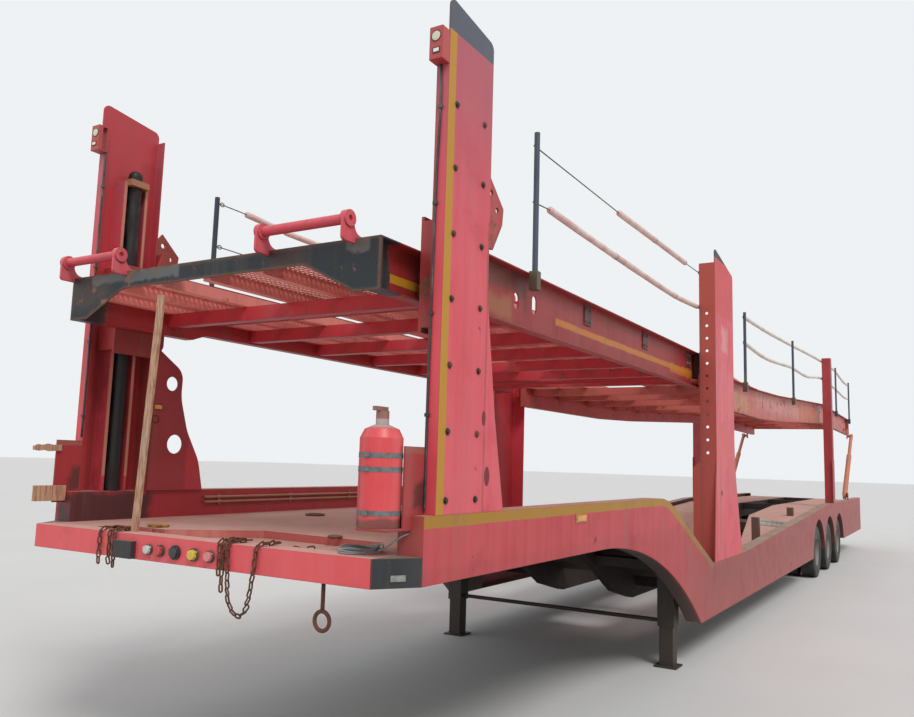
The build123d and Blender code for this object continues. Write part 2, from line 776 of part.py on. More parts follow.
def front_column():
    """Left front column: web, two lips, two slide rails, base gusset and the cylinder's collar."""
    web_y = HALF_WIDTH - FC_WEB
    web = side_plate(
        [
            (FC_FRONT, NECK_TOP),
            (FC_FRONT, FC_TOP_FRONT, TIP_RADIUS),
            (FC_REAR, FC_TOP_REAR, TIP_RADIUS),
            (FC_REAR, FC_SWELL_Z, FC_SWELL_RADIUS),
            (FC_WAIST, FC_WAIST_Z, FC_SWELL_RADIUS),
            (FC_FOOT, NECK_TOP),
        ],
        web_y,
        HALF_WIDTH,
    )
    lip = slab(FC_FRONT, FC_FRONT + FC_WEB, FC_LIP_Y, web_y, NECK_TOP, FC_LIP_TOP)
    rear_lip_start = FC_REAR - FC_WEB
    rear_lip = slab(rear_lip_start, FC_REAR, FC_REAR_LIP_Y, web_y, NECK_TOP, FC_REAR_LIP_TOP)
    rib = slab(rear_lip_start, FC_REAR, GUSSET_INNER, web_y, NECK_TOP, GUSSET_TOP)
    slide_rails = [
        slab(*span, SLIDE_RAIL_INNER, web_y, NECK_TOP, SLIDE_RAIL_TOP)
        for span in (FRONT_SLIDE_RAIL, REAR_SLIDE_RAIL)
    ]
    gusset_outer = GUSSET_INNER + GUSSET_PLATE
    outline = [(rear_lip_start, NECK_TOP), (GUSSET_REAR, NECK_TOP)] + list(GUSSET_EDGE)
    gusset = side_plate(outline + [(rear_lip_start, GUSSET_TOP)], GUSSET_INNER, gusset_outer)
    for station, z, radius in GUSSET_HOLES:
        gusset = gusset - rod_y(station, z, radius, GUSSET_INNER - 1, gusset_outer + 1)
    reach = COLLAR_LENGTH / 2
    low, high = COLLAR_Z, COLLAR_Z + COLLAR_HEIGHT
    collar = slab(LIFT_STATION - reach, LIFT_STATION + reach, COLLAR_Y, web_y, low, high)
    bore = rod_z(LIFT_STATION, LIFT_Y, LIFT_RADIUS + COLLAR_GAP, low - 1, high + 1)
    return fuse(web, lip, rear_lip, rib, *slide_rails, gusset, collar - bore)


def lift_cylinder():
    """Left lift cylinder in its column, with a domed top."""
    dome_z = LIFT_TOP - LIFT_RADIUS
    body = rod_z(LIFT_STATION, LIFT_Y, LIFT_RADIUS, NECK_TOP, dome_z)
    return fuse(body, Pos(at(LIFT_STATION), LIFT_Y, dome_z) * Sphere(LIFT_RADIUS))


def carriage():
    """Left deck carriage: slotted plate, two slide blocks and an arm behind the column."""
    plate = side_plate(CARRIAGE_OUTLINE, CARRIAGE_INNER, CARRIAGE_OUTER)
    low, high = DECK_PIVOT_Z - CARRIAGE_SLOT_HALF, DECK_PIVOT_Z + CARRIAGE_SLOT_HALF
    plate = plate - slab(*CARRIAGE_SLOT, CARRIAGE_INNER - 1, CARRIAGE_OUTER + 1, low, high)
    arm_inner, arm_outer = ARM_Y_SPAN
    arm = side_plate(ARM_OUTLINE, arm_inner, arm_outer)
    for station, z, radius in ARM_HOLES:
        arm = arm - rod_y(station, z, radius, arm_inner - 1, arm_outer + 1)
    link_start, link_end, link_low, link_high = ARM_LINK
    link = slab(link_start, link_end, CARRIAGE_INNER, arm_outer, link_low, link_high)
    block_y = HALF_WIDTH - FC_WEB - BLOCK_GAP
    front = FRONT_SLIDE_RAIL[0] - SLIDE_GAP
    rear = REAR_SLIDE_RAIL[1] + SLIDE_GAP
    blocks = [
        slab(front - BLOCK_LENGTH, front, CARRIAGE_OUTER, block_y, BLOCK_LOW, BLOCK_HIGH),
        slab(rear, rear + BLOCK_LENGTH, CARRIAGE_OUTER, block_y, BLOCK_LOW, BLOCK_HIGH),
    ]
    return fuse(plate, arm, link, *blocks)


def mid_column():
    """Left mid column: web, pinned front flange, rear flange and the two deck shoes."""
    web_y = HALF_WIDTH - FC_WEB
    web = side_plate(
        [
            (MC_FOOT_FRONT, LOW_TOP),
            (MC_FRONT, MC_FLARE_TOP, MC_SWELL_RADIUS),
            (MC_FRONT, MC_TOP_FRONT, TIP_RADIUS),
            (MC_REAR, MC_TOP_REAR, TIP_RADIUS),
            (MC_REAR, MC_FLARE_TOP, MC_SWELL_RADIUS),
            (MC_FOOT_REAR, LOW_TOP),
        ],
        web_y,
        HALF_WIDTH,
    )
    flange = cross_plate(
        [
            (MC_FLARE_INNER, LOW_TOP),
            (MC_FLARE_INNER, MC_FLARE_TOP - MC_FLARE_STEP),
            (MC_INNER, MC_FLARE_TOP),
            (MC_INNER, MC_FLANGE_TOP),
            (web_y, MC_FLANGE_TOP),
            (web_y, LOW_TOP),
        ],
        MC_FRONT,
        MC_FLANGE,
    )
    for step in range(MC_HOLE_COUNT):
        z = MC_HOLE_START + MC_HOLE_PITCH * step
        flange = flange - rod_x(MC_FRONT - 1, MC_FRONT + MC_FLANGE + 1, MC_HOLE_Y, z, MC_HOLE_RADIUS)
    rear = slab(MC_REAR - MC_FLANGE, MC_REAR, MC_INNER, web_y, LOW_TOP, MC_FLANGE_TOP - MC_FLARE_STEP)
    shoes = []
    for low, high, pivot in (
        (MC_FRONT + MC_FLANGE, FRONT_PIVOT + SHOE_HALF, FRONT_PIVOT),
        (AFT_PIVOT - SHOE_HALF, MC_REAR - MC_FLANGE, AFT_PIVOT),
    ):
        z0, z1 = DECK_PIVOT_Z - SHOE_HEIGHT, DECK_PIVOT_Z + SHOE_HEIGHT
        block = slab(low, high, SHOE_INNER, SHOE_OUTER, z0, z1)
        bore = rod_y(pivot, DECK_PIVOT_Z, DECK_PIN_RADIUS + PIN_GAP, SHOE_INNER - 1, SHOE_OUTER + 1)
        shoes.append(block - bore)
    return fuse(web, flange, rear, *shoes)


def rear_column():
    """Left rear column: post with a sleeve at its foot."""
    wall = RC_WALL
    post_body = slab(RC_FRONT, RC_REAR, RC_INNER, HALF_WIDTH, REAR_TOP, RC_TOP)
    hollow = slab(RC_FRONT + wall, RC_REAR - wall, RC_INNER - 1, HALF_WIDTH - wall, REAR_TOP - 1, RC_TOP + 1)
    front, rear = RC_FRONT - RC_SLEEVE, RC_REAR + RC_SLEEVE
    sleeve = slab(front, rear, HALF_WIDTH - wall, HALF_WIDTH, REAR_TOP, RC_SLEEVE_TOP)
    return fuse(post_body - hollow, sleeve)


def landing_leg():
    """Left landing leg on its foot plate."""
    half, inner, foot = LEG_SIZE / 2, LEG_INNER_SIZE / 2, FOOT_SIZE / 2
    s, y = LEG_STATION, LEG_Y
    sleeve = slab(s - half, s + half, y - half, y + half, LEG_SLEEVE_BOTTOM, LEG_TOP)
    lower = slab(s - inner, s + inner, y - inner, y + inner, FOOT_PLATE, LEG_SLEEVE_BOTTOM)
    return fuse(sleeve, lower, slab(s - foot, s + foot, y - foot, y + foot, 0, FOOT_PLATE))


def leg_brace():
    """Round bar between the two legs."""
    reach = LEG_Y - LEG_SIZE / 2
    return rod_y(LEG_STATION, BRACE_Z, BRACE_RADIUS, -reach, reach)


def twin_centres():
    """Y of the outer and the inner tyre of a left twin."""
    outer = HALF_WIDTH - SKIN - TYRE_GAP_TO_SKIN - TYRE_WIDTH / 2
    return outer, outer - TWIN_SPACING


def ring_y(station, z, profile, y):
    """Body of revolution about a wheel's axis, from (radius, y offset) points."""
    outline = Polyline(*[Vector(r, offset, 0) for r, offset in profile], close=True)
    body = revolve(make_face(outline), axis=Axis.Y, revolution_arc=360)
    return Pos(at(station), y, z) * body


def tyres(station):
    """Twin tyres of a left wheel."""
    half = TYRE_WIDTH / 2
    profile = [
        (RIM_RADIUS, -half + TYRE_ROUND / 2),
        (RIM_RADIUS + TYRE_BULGE, -half),
        (TYRE_RADIUS - TYRE_ROUND, -half + TREAD_DROP),
        (TYRE_RADIUS, -half + TYRE_ROUND),
        (TYRE_RADIUS, half - TYRE_ROUND),
        (TYRE_RADIUS - TYRE_ROUND, half - TREAD_DROP),
        (RIM_RADIUS + TYRE_BULGE, half),
        (RIM_RADIUS, half - TYRE_ROUND / 2),
    ]
    return [ring_y(station, TYRE_RADIUS, profile, y) for y in twin_centres()]


def rim(station):
    """Twin rims with their disc and hub, as one turning piece."""
    outer, inner = twin_centres()
    middle = (outer + inner) / 2
    half = TYRE_WIDTH / 2 - TYRE_ROUND / 2
    drum = RIM_RADIUS - RIM_WALL
    bore = STUB_RADIUS + HUB_BORE_GAP
    shell = [(drum, -half), (RIM_RADIUS, -half), (RIM_RADIUS, half), (drum, half)]
    link = [(drum, -RIM_LINK), (RIM_RADIUS, -RIM_LINK), (RIM_RADIUS, RIM_LINK), (drum, RIM_LINK)]
    disc = [(bore, 0), (drum, 0), (drum, 2 * RIM_DISC), (bore, 2 * RIM_DISC)]
    hub = [(bore, 0), (HUB_RADIUS, 0), (HUB_RADIUS, HUB_LENGTH), (bore, HUB_LENGTH)]
    holes = []
    for step in range(RIM_HOLES):
        turn = Pos(at(station), 0, TYRE_RADIUS) * Rot(0, 360 * step / RIM_HOLES, 0)
        spot = turn * Pos(RIM_HOLE_REACH, middle, 0) * Rot(90, 0, 0)
        holes.append(spot * Cylinder(RIM_HOLE_RADIUS, 4 * RIM_DISC))
    return fuse(
        ring_y(station, TYRE_RADIUS, shell, outer),
        ring_y(station, TYRE_RADIUS, shell, inner),
        ring_y(station, TYRE_RADIUS, link, middle),
        ring_y(station, TYRE_RADIUS, disc, middle - RIM_DISC) - fuse(*holes),
        ring_y(station, TYRE_RADIUS, hub, middle + RIM_DISC),
    )


def axle(station):
    """Axle beam with its stub ends."""
    outer, inner = twin_centres()
    beam_half = inner - TYRE_WIDTH / 2 - AXLE_TO_TYRE
    stub_end = (outer + inner) / 2 + RIM_DISC + HUB_LENGTH
    beam = rod_y(station, TYRE_RADIUS, AXLE_RADIUS, -beam_half, beam_half)
    return fuse(beam, rod_y(station, TYRE_RADIUS, STUB_RADIUS, -stub_end, stub_end))


def suspension_arm(station):
    """Left trailing arm from its hanger to the air spring."""
    seat = TYRE_RADIUS + AXLE_RADIUS
    points = [
        (station - ARM_FRONT, ARM_FRONT_Z),
        (station - ARM_FRONT, ARM_FRONT_Z + ARM_DEPTH),
        (station + ARM_WIDTH / 2, seat + ARM_DEPTH),
        (station + ARM_REAR, seat + ARM_DEPTH),
        (station + ARM_REAR, seat),
        (station, seat),
    ]
    arm = side_plate(points, ARM_Y - ARM_WIDTH / 2, ARM_Y + ARM_WIDTH / 2)
    start = station - ARM_FRONT - HANGER_LENGTH / 2
    hanger = slab(start, start + HANGER_LENGTH, RAIL_OUTER, ARM_Y + ARM_WIDTH, HANGER_BOTTOM, HANGER_TOP)
    return fuse(arm, hanger)


def air_spring(station):
    """Left air spring on its arm, with its top plate on the rail."""
    seat = TYRE_RADIUS + AXLE_RADIUS + ARM_DEPTH
    centre = station + ARM_REAR - SPRING_RADIUS
    waist = SPRING_RADIUS * SPRING_WAIST
    height = (SPRING_PLATE_Z - seat) / 2
    profile = [(0, 0), (waist, 0), (SPRING_RADIUS, height / 2), (waist, height)]
    profile += [(SPRING_RADIUS, height * 1.5), (waist, 2 * height), (0, 2 * height)]
    outline = Polyline(*[Vector(r, 0, z) for r, z in profile], close=True)
    body = Pos(at(centre), SPRING_Y, seat) * revolve(make_face(outline), axis=Axis.Z, revolution_arc=360)
    plate = slab(
        centre - SPRING_RADIUS,
        centre + SPRING_RADIUS,
        RAIL_OUTER,
        SPRING_Y + SPRING_RADIUS,
        SPRING_PLATE_Z,
        SPRING_PLATE_Z + SPRING_PLATE,
    )
    return fuse(body, plate)


def mud_flap():
    """Left mud flap behind the last axle."""
    high = height_on(low_floor_line(), FLAP_STATION) - FLOOR_PLATE - MEMBER_HEIGHT / 2
    outer = INNER_Y - SKIN
    return slab(FLAP_STATION - FLAP_PLATE, FLAP_STATION, INNER_Y - FLAP_WIDTH, outer, FLAP_BOTTOM, high)


def rear_panel():
    """Panel across the rear end of the floor, and the bumper below it."""
    panel = slab(FLOOR_END, FLOOR_END + PANEL_PLATE, -INNER_Y, INNER_Y, PANEL_BOTTOM, REAR_FLOOR_Z)
    bumper_end = FLOOR_END + PANEL_PLATE
    low = BUMPER_Z + BUMPER_DEPTH
    bumper = slab(bumper_end - BUMPER_DEPTH, bumper_end, -INNER_Y, INNER_Y, BUMPER_Z, low)
    stay = slab(bumper_end - BUMPER_DEPTH, FLOOR_END, TRACK_INNER, RAIL_OUTER, low, RAIL_REAR_BOTTOM)
    return [panel, fuse(bumper, *on_sides(stay))]


def tail_lamp():
    """Left tail lamp on the rear panel."""
    start = FLOOR_END + PANEL_PLATE
    return slab(start, LENGTH, LAMP_Y - LAMP_HALF, LAMP_Y + LAMP_HALF, LAMP_LOW, LAMP_HIGH)


def column_lamp():
    """Left lamp box in front of the front column, with its round lens."""
    front, top = FC_FRONT - COLUMN_LAMP_DEPTH, COLUMN_LAMP_Z + COLUMN_LAMP_HEIGHT
    box = slab(front, FC_FRONT, COLUMN_LAMP_Y, HALF_WIDTH, COLUMN_LAMP_Z, top)
    lens_y, lens_z = (COLUMN_LAMP_Y + HALF_WIDTH) / 2, COLUMN_LAMP_Z + COLUMN_LENS_HEIGHT
    lens = rod_x(front - COLUMN_LENS_REACH, front + COLUMN_LENS_REACH, lens_y, lens_z, COLUMN_LENS_RADIUS)
    return fuse(box, lens)


def open_column_lamp():
    """Lamp of the right front column, whose box is an open frame."""
    wall = COLUMN_LAMP_WALL
    start = FC_FRONT - COLUMN_LAMP_DEPTH + COLUMN_LAMP_FRONT
    low, high = COLUMN_LAMP_Z + wall, COLUMN_LAMP_Z + COLUMN_LAMP_HEIGHT - wall
    gap = slab(start, FC_FRONT - wall, COLUMN_LAMP_Y - 1, HALF_WIDTH + 1, low, high)
    return other_side(column_lamp() - gap)


def deck_beam(outline, inset_outline):
    """Left deck side beam: web with outward flanges."""
    body = side_plate(outline, DECK_WEB_Y, DECK_HALF)
    return body - side_plate(inset_outline, DECK_WEB_Y + DECK_PLATE, DECK_HALF + 1)


def slot_corners(station, z, half_width, half_height):
    """Corners of a slot with round ends, seen from the side."""
    round_end = min(half_width, half_height) * SLOT_ROUND
    signs = ((-1, -1), (-1, 1), (1, 1), (1, -1))
    return [(station + a * half_width, z + b * half_height, round_end) for a, b in signs]


def web_slot(station, z, half_width, half_height):
    """Cutter for an upright slot with round ends in a left deck web."""
    corners = slot_corners(station, z, half_width, half_height)
    return side_plate(corners, DECK_WEB_Y - 1, DECK_WEB_Y + DECK_PLATE + 1)


def deck_pins(stations_and_ends):
    """Left deck pins."""
    web = DECK_WEB_Y + DECK_PLATE
    return [rod_y(s, DECK_PIVOT_Z, DECK_PIN_RADIUS, web, end) for s, end in stations_and_ends]


def front_deck_beam():
    """Left side beam of the front deck with its pins and bracket plates."""
    p = DECK_PLATE
    start = NOSE_STATION + NOSE_PLATE
    outline = [
        (start, NOSE_LOW),
        (start, NOSE_HIGH),
        (STEP_START, NOSE_HIGH),
        (STEP_END, DECK_HIGH),
        (FRONT_DECK_END, DECK_HIGH),
        (FRONT_DECK_END, DECK_LOW),
        (STEP_END, DECK_LOW),
        (STEP_START, NOSE_LOW),
    ]
    inset = [
        (start + p, NOSE_LOW + p),
        (start + p, NOSE_HIGH - p),
        (STEP_START + p / 2, NOSE_HIGH - p),
        (STEP_END + p / 2, DECK_HIGH - p),
        (FRONT_DECK_END - p, DECK_HIGH - p),
        (FRONT_DECK_END - p, DECK_LOW + p),
        (STEP_END, DECK_LOW + p),
        (STEP_START, NOSE_LOW + p),
    ]
    beam = deck_beam(outline, inset)
    for station, z, half_height in DECK_HOLES:
        beam = beam - web_slot(station, z, WEB_HOLE_HALF, half_height)
    y0, y1 = DECK_WEB_Y + p, DECK_WEB_Y + 2 * p
    brackets = [
        slab(s - BRACKET_HALF, s + BRACKET_HALF, y0, y1, DECK_BRACKET_LOW, DECK_HIGH - p)
        for s in DECK_BRACKETS
    ]
    pins = deck_pins(((LIFT_STATION, CARRIAGE_OUTER - 2), (FRONT_PIVOT, SHOE_OUTER - SHOE_PIN_BACK)))
    return fuse(beam, *brackets, *pins)


def front_deck_members():
    """Cross members and the round cross tube of the front deck."""
    drop = FLOOR_PLATE + STRINGER_HEIGHT
    high = FRONT_FLOOR_Z - drop
    solids = []
    for station in FRONT_DECK_MEMBERS:
        end = station + MEMBER_WIDTH
        solids.append(slab(station, end, -DECK_WEB_Y, DECK_WEB_Y, high - DECK_MEMBER_HEIGHT, high))
    solids.append(rod_y(CROSS_TUBE_STATION, CROSS_TUBE_Z, CROSS_TUBE_RADIUS, -DECK_WEB_Y, DECK_WEB_Y))
    return solids


def deck_track(line):
    """Left wheel track of an upper deck: its plate with the stringers under it."""
    plate = strip(line, 0, FLOOR_PLATE, TRACK_INNER, DECK_WEB_Y)
    stringers = [strip(line, FLOOR_PLATE, STRINGER_HEIGHT, y, y + STRINGER_WIDTH) for y in STRINGER_Y]
    return fuse(plate, *stringers)


def front_deck_floor():
    """Two wheel tracks of the front deck."""
    start = NOSE_STATION + NOSE_PLATE
    return on_sides(deck_track([(start, FRONT_FLOOR_Z), (FRONT_DECK_END, FRONT_FLOOR_Z)]))


def deck_nose():
    """Front plate with its hollowed lower edge, and the plate on top of it."""
    half = [
        (DECK_HALF, NOSE_HIGH),
        (DECK_HALF, NOSE_LOW),
        (NOSE_TIP_Y, NOSE_LOW, NOSE_TIP_RADIUS),
        (NOSE_FLAT_Y, NOSE_MIDDLE_LOW, NOSE_HOLLOW_RADIUS),
    ]
    other = [(-p[0],) + p[1:] for p in reversed(half)]
    front = cross_plate(half + other, NOSE_STATION, NOSE_PLATE)
    start = NOSE_STATION + NOSE_PLATE
    top = slab(start, NOSE_STATION + NOSE_LIP, -DECK_WEB_Y, DECK_WEB_Y, NOSE_HIGH - NOSE_PLATE, NOSE_HIGH)
    return fuse(front, top)


def wheel_stop(y0, y1):
    """Bar between two lugs on the nose."""
    parts = [rod_y(STOP_STATION, STOP_Z, STOP_TUBE, y0, y1)]
    for y in (y0, y1):
        lug = side_plate(
            [
                (STOP_STATION - STOP_BOSS, STOP_Z),
                (STOP_STATION - STOP_BOSS, STOP_FOOT_LOW, STOP_CORNER),
                (NOSE_STATION, STOP_FOOT_LOW),
                (NOSE_STATION, NOSE_HIGH),
                (STOP_FOOT_REAR, NOSE_HIGH),
                (STOP_FOOT_REAR, NOSE_HIGH + STOP_FOOT_EDGE),
                (STOP_STATION + STOP_BOSS, NOSE_HIGH + STOP_FOOT_EDGE, STOP_HOLLOW),
                (STOP_STATION + STOP_BOSS, STOP_Z),
            ],
            y - STOP_LUG / 2,
            y + STOP_LUG / 2,
        )
        parts += [rod_y(STOP_STATION, STOP_Z, STOP_BOSS, y - STOP_LUG, y + STOP_LUG), lug]
    body = fuse(*parts)
    for face, inward in ((y0 - STOP_LUG, STOP_EYE_DEPTH), (y1 + STOP_LUG, -STOP_EYE_DEPTH)):
        low, high = sorted((face - inward, face + inward))
        body = body - rod_y(STOP_STATION, STOP_Z, STOP_EYE, low, high)
    return body


def post(station, side, z0, z1):
    """Deck post in its socket."""
    y, half = side * POST_Y, POST_SOCKET
    outer = y + side * half
    socket = slab(station - half, station + half, side * DECK_HALF, outer, z0, z0 + POST_SOCKET_HEIGHT)
    return fuse(socket, rod_z(station, y, POST_RADIUS, z0, z1))


def post_rope(side, points, stretches):
    """Wire between posts with foam sleeves on stretches of its points."""
    spots = [Vector(at(s), side * ROPE_Y, z) for s, z in points]
    wires = [straight_run(a, b, WIRE_RADIUS) for a, b in zip(spots, spots[1:])]
    sleeves = []
    for first, last in stretches:
        sleeved = spots[first:last + 1]
        sleeves += [straight_run(a, b, FOAM_RADIUS) for a, b in zip(sleeved, sleeved[1:])]
    return fuse(*wires, *sleeves)


def aft_deck_beam():
    """Left cambered side beam of the aft deck with its pin and the tail strut's ear."""
    p = DECK_PLATE
    first, last = AFT_TOP[0], AFT_TOP[-1]
    inner = [(first[0] + p, first[1])] + list(AFT_TOP[1:-1]) + [(last[0] - p, last[1])]
    outline = list(AFT_TOP) + [(s, z - AFT_BEAM_HEIGHT) for s, z in reversed(AFT_TOP)]
    inset = [(s, z - p) for s, z in inner] + [(s, z - AFT_BEAM_HEIGHT + p) for s, z in reversed(inner)]
    beam = deck_beam(outline, inset)
    for station in AFT_SLOTS:
        z = height_on(AFT_SLOT_LINE, station)
        beam = beam - web_slot(station, z, AFT_SLOT_WIDTH / 2, AFT_SLOT_HEIGHT / 2)
    half = STRUT_EYE_RADIUS
    start, end = STRUT_TOP - half, STRUT_TOP + half
    ear_outer = DECK_HALF + STRUT_PLATE
    ear_top = height_on(AFT_TOP, STRUT_TOP) - AFT_BEAM_HEIGHT + EAR_LAP
    ear = slab(start, end, DECK_HALF, ear_outer, STRUT_TOP_Z - half, max(ear_top, STRUT_TOP_Z))
    tab = slab(start, end, DECK_WEB_Y, DECK_HALF, ear_top - STRUT_PLATE, ear_top)
    pin_end = STRUT_Y - STRUT_EYE_WIDTH / 2 - STRUT_CLEAR
    pin = rod_y(STRUT_TOP, STRUT_TOP_Z, STRUT_PIN_RADIUS, ear_outer, pin_end)
    return fuse(beam, ear, tab, pin, *deck_pins(((AFT_PIVOT, SHOE_OUTER - SHOE_PIN_BACK),)))


def aft_deck_members():
    """Cross members of the aft deck."""
    drop = AFT_FLOOR_DROP + FLOOR_PLATE + STRINGER_HEIGHT
    return [member(AFT_TOP, drop, DECK_MEMBER_HEIGHT, s, -DECK_WEB_Y, DECK_WEB_Y) for s in AFT_DECK_MEMBERS]


def aft_deck_floor():
    """Two wheel tracks of the aft deck."""
    return on_sides(deck_track([(s, z - AFT_FLOOR_DROP) for s, z in AFT_TOP]))


def strut_length():
    """Distance between the strut's two eyes at rest."""
    return math.hypot(STRUT_TOP_Z - STRUT_BASE_Z, STRUT_TOP - STRUT_BASE)


def along_strut(shape):
    """Place a shape, built along +X from the lower eye, on the left strut's axis."""
    angle = math.degrees(math.atan2(STRUT_TOP_Z - STRUT_BASE_Z, STRUT_TOP - STRUT_BASE))
    return Pos(at(STRUT_BASE), STRUT_Y, STRUT_BASE_Z) * Rot(0, 180, 0) * Rot(0, angle, 0) * shape


def barrel_length():
    """Length of the strut's barrel."""
    return strut_length() * STRUT_BARREL_SHARE


def strut_barrel():
    """Left strut barrel with its eye."""
    start = STRUT_EYE_RADIUS - STRUT_LAP
    length = barrel_length() - start
    tube = Pos(start + length / 2, 0, 0) * Rot(0, 90, 0) * Cylinder(STRUT_BARREL_RADIUS, length)
    bore = Rot(0, 90, 0) * Cylinder(STRUT_ROD_RADIUS + STRUT_ROD_GAP, length)
    bore = Pos(start + STRUT_BARREL_FLOOR + length / 2, 0, 0) * bore
    eye = Rot(90, 0, 0) * Cylinder(STRUT_EYE_RADIUS, STRUT_EYE_WIDTH)
    hole = Rot(90, 0, 0) * Cylinder(STRUT_PIN_RADIUS + PIN_GAP, STRUT_EYE_WIDTH + 2)
    return along_strut(fuse(tube - bore, eye - hole))


def strut_rod():
    """Left strut rod with its eye."""
    length = strut_length()
    start = barrel_length() - STRUT_ROD_OVERLAP
    end = length - STRUT_ROD_EYE / 2
    rod = Pos((start + end) / 2, 0, 0) * Rot(0, 90, 0) * Cylinder(STRUT_ROD_RADIUS, end - start)
    eye = Rot(90, 0, 0) * Cylinder(STRUT_ROD_EYE, STRUT_EYE_WIDTH)
    return along_strut(fuse(rod, Pos(length, 0, 0) * eye))


def strut_base():
    """Left strut bracket and pin on the side frame."""
    plate_y = STRUT_Y + STRUT_BARREL_RADIUS + STRUT_CLEAR
    half = STRUT_EYE_RADIUS + STRUT_PLATE
    start, end = STRUT_BASE - half, STRUT_BASE + half
    bracket = slab(start, end, plate_y, plate_y + STRUT_PLATE, REAR_TOP, STRUT_BASE_Z + half)
    pin_end = STRUT_Y - STRUT_EYE_WIDTH / 2
    return fuse(bracket, rod_y(STRUT_BASE, STRUT_BASE_Z, STRUT_PIN_RADIUS, pin_end, plate_y))


def extinguisher():
    """Fire extinguisher with its valve and handle."""
    s, y, r = BOTTLE_STATION, BOTTLE_Y, BOTTLE_RADIUS
    shoulder = BOTTLE_TOP - BOTTLE_SHOULDER
    profile = [
        (0, BOTTLE_BOTTOM),
        (r, BOTTLE_BOTTOM),
        (r, shoulder),
        (r * 0.8, BOTTLE_TOP - BOTTLE_SHOULDER / 3),
        (r * 0.35, BOTTLE_TOP),
        (VALVE_RADIUS, BOTTLE_TOP),
        (VALVE_RADIUS, VALVE_TOP),
        (0, VALVE_TOP),
    ]
    outline = Polyline(*[Vector(radius, 0, z) for radius, z in profile], close=True)
    bottle = Pos(at(s), y, 0) * revolve(make_face(outline), axis=Axis.Z, revolution_arc=360)
    y0, y1 = y - HANDLE_HALF, y + HANDLE_HALF
    handle = slab(s - HANDLE_REACH, s + VALVE_RADIUS, y0, y1, VALVE_TOP, VALVE_TOP + HANDLE_HALF * 2)
    return fuse(bottle, handle)


def bottle_holder():
    """Left bottle holder: plate in front of the column with its foot."""
    front = HOLDER_FRONT
    plate = side_plate(
        [
            (front, HOLDER_LOW),
            (front, HOLDER_TOP),
            (FC_FRONT, HOLDER_TOP),
            (FC_FRONT, NECK_TOP),
            (FRAME_START, NECK_TOP),
            (FRAME_START, HOLDER_LOW),
        ],
        HOLDER_Y,
        HOLDER_Y + HOLDER_PLATE,
    )
    return plate


def holder_foot():
    """Foot plate under the left bottle."""
    start, y = BOTTLE_STATION - BOTTLE_RADIUS, BOTTLE_Y - BOTTLE_RADIUS / 2
    low = BOTTLE_BOTTOM - HOLDER_FOOT
    return slab(start, FRAME_START, y, HOLDER_Y + HOLDER_PLATE, low, BOTTLE_BOTTOM)


def neck_pipes():
    """Two pipes along the inner wall of the right side frame, with their clamps."""
    pipes = [rod_x(*PIPE_SPAN, -PIPE_Y, z, PIPE_RADIUS) for z in PIPE_HEIGHTS]
    low, high = PIPE_HEIGHTS[0] - 2 * PIPE_RADIUS, PIPE_HEIGHTS[1] + 2 * PIPE_RADIUS
    clamps = [slab(s, s + 2 * PIPE_RADIUS, -INNER_Y, -PIPE_Y, low, high) for s in PIPE_CLAMPS]
    return fuse(*pipes, *clamps)


def floor_stands():
    """Two stands on the low floor with the perforated rail between them."""
    line = low_floor_line()
    half = STAND_SIZE / 2
    parts = []
    for station, top in STANDS:
        start, end = station - half, station + half
        outline = [(start, height_on(line, start)), (end, height_on(line, end)), (end, top), (start, top)]
        parts.append(side_plate(outline, STAND_Y - half, STAND_Y + half))
    (start, z0), (end, z1) = PERFORATED_LINE
    rail = [(start, z0 - PERFORATED_HEIGHT / 2), (start, z0 + PERFORATED_HEIGHT / 2)]
    rail += [(end, z1 + PERFORATED_HEIGHT / 2), (end, z1 - PERFORATED_HEIGHT / 2)]
    body = side_plate(rail, STAND_Y - PERFORATED_WIDTH / 2, STAND_Y + PERFORATED_WIDTH / 2)
    for step in range(PERFORATIONS):
        share = (step + 0.5) / PERFORATIONS
        centre = (start + share * (end - start), z0 + share * (z1 - z0))
        cut = slot_corners(*centre, *PERFORATION)
        body = body - side_plate(cut, STAND_Y - PERFORATED_WIDTH, STAND_Y + PERFORATED_WIDTH)
    return [fuse(parts[0], body), parts[1]]


def leaning_lath():
    """Lath that leans in front of the nose with its foot on the beam."""
    foot, top = [Vector(at(s), y, z) for s, y, z in (LATH_FOOT, LATH_TOP)]
    span = top - foot
    place = Plane(origin=foot, x_dir=(0, 1, 0), z_dir=span)
    board = Box(LATH_WIDTH, LATH_THICKNESS, span.length + LATH_WIDTH)
    board = place * Pos(0, 0, (span.length - LATH_WIDTH) / 2) * board
    return board - slab(-LENGTH, LENGTH, -HALF_WIDTH, HALF_WIDTH, 0, BEAM_TOP)


def soft_route(points):
    """Runs joined by tangent arcs through (station, y, z) points, and the radii of the arcs."""
    spots = [Vector(at(s), y, z) for s, y, z in points]
    radii = []
    for before, corner, after in zip(spots, spots[1:], spots[2:]):
        turn = math.radians((corner - before).get_angle(after - corner))
        reach = 0.45 * min((corner - before).length, (after - corner).length)
        radii.append(reach / math.tan(turn / 2))
    return FilletPolyline(*spots, radius=radii), radii


def tube(points, radius):
    """Round tube along a soft route."""
    route, radii = soft_route(points)
    body = sweep(Plane(origin=route @ 0, z_dir=route % 0) * Circle(radius), path=route)
    return body, route.length, radii


def rope_coil():
    """Closed outer shape of the rope coil on the beam."""
    place = Pos(at(COIL_STATION), COIL_Y, BEAM_TOP + COIL_HEIGHT / 2)
    return place * extrude(Ellipse(*COIL_OUTER) - Ellipse(*COIL_INNER), amount=COIL_HEIGHT / 2, both=True)


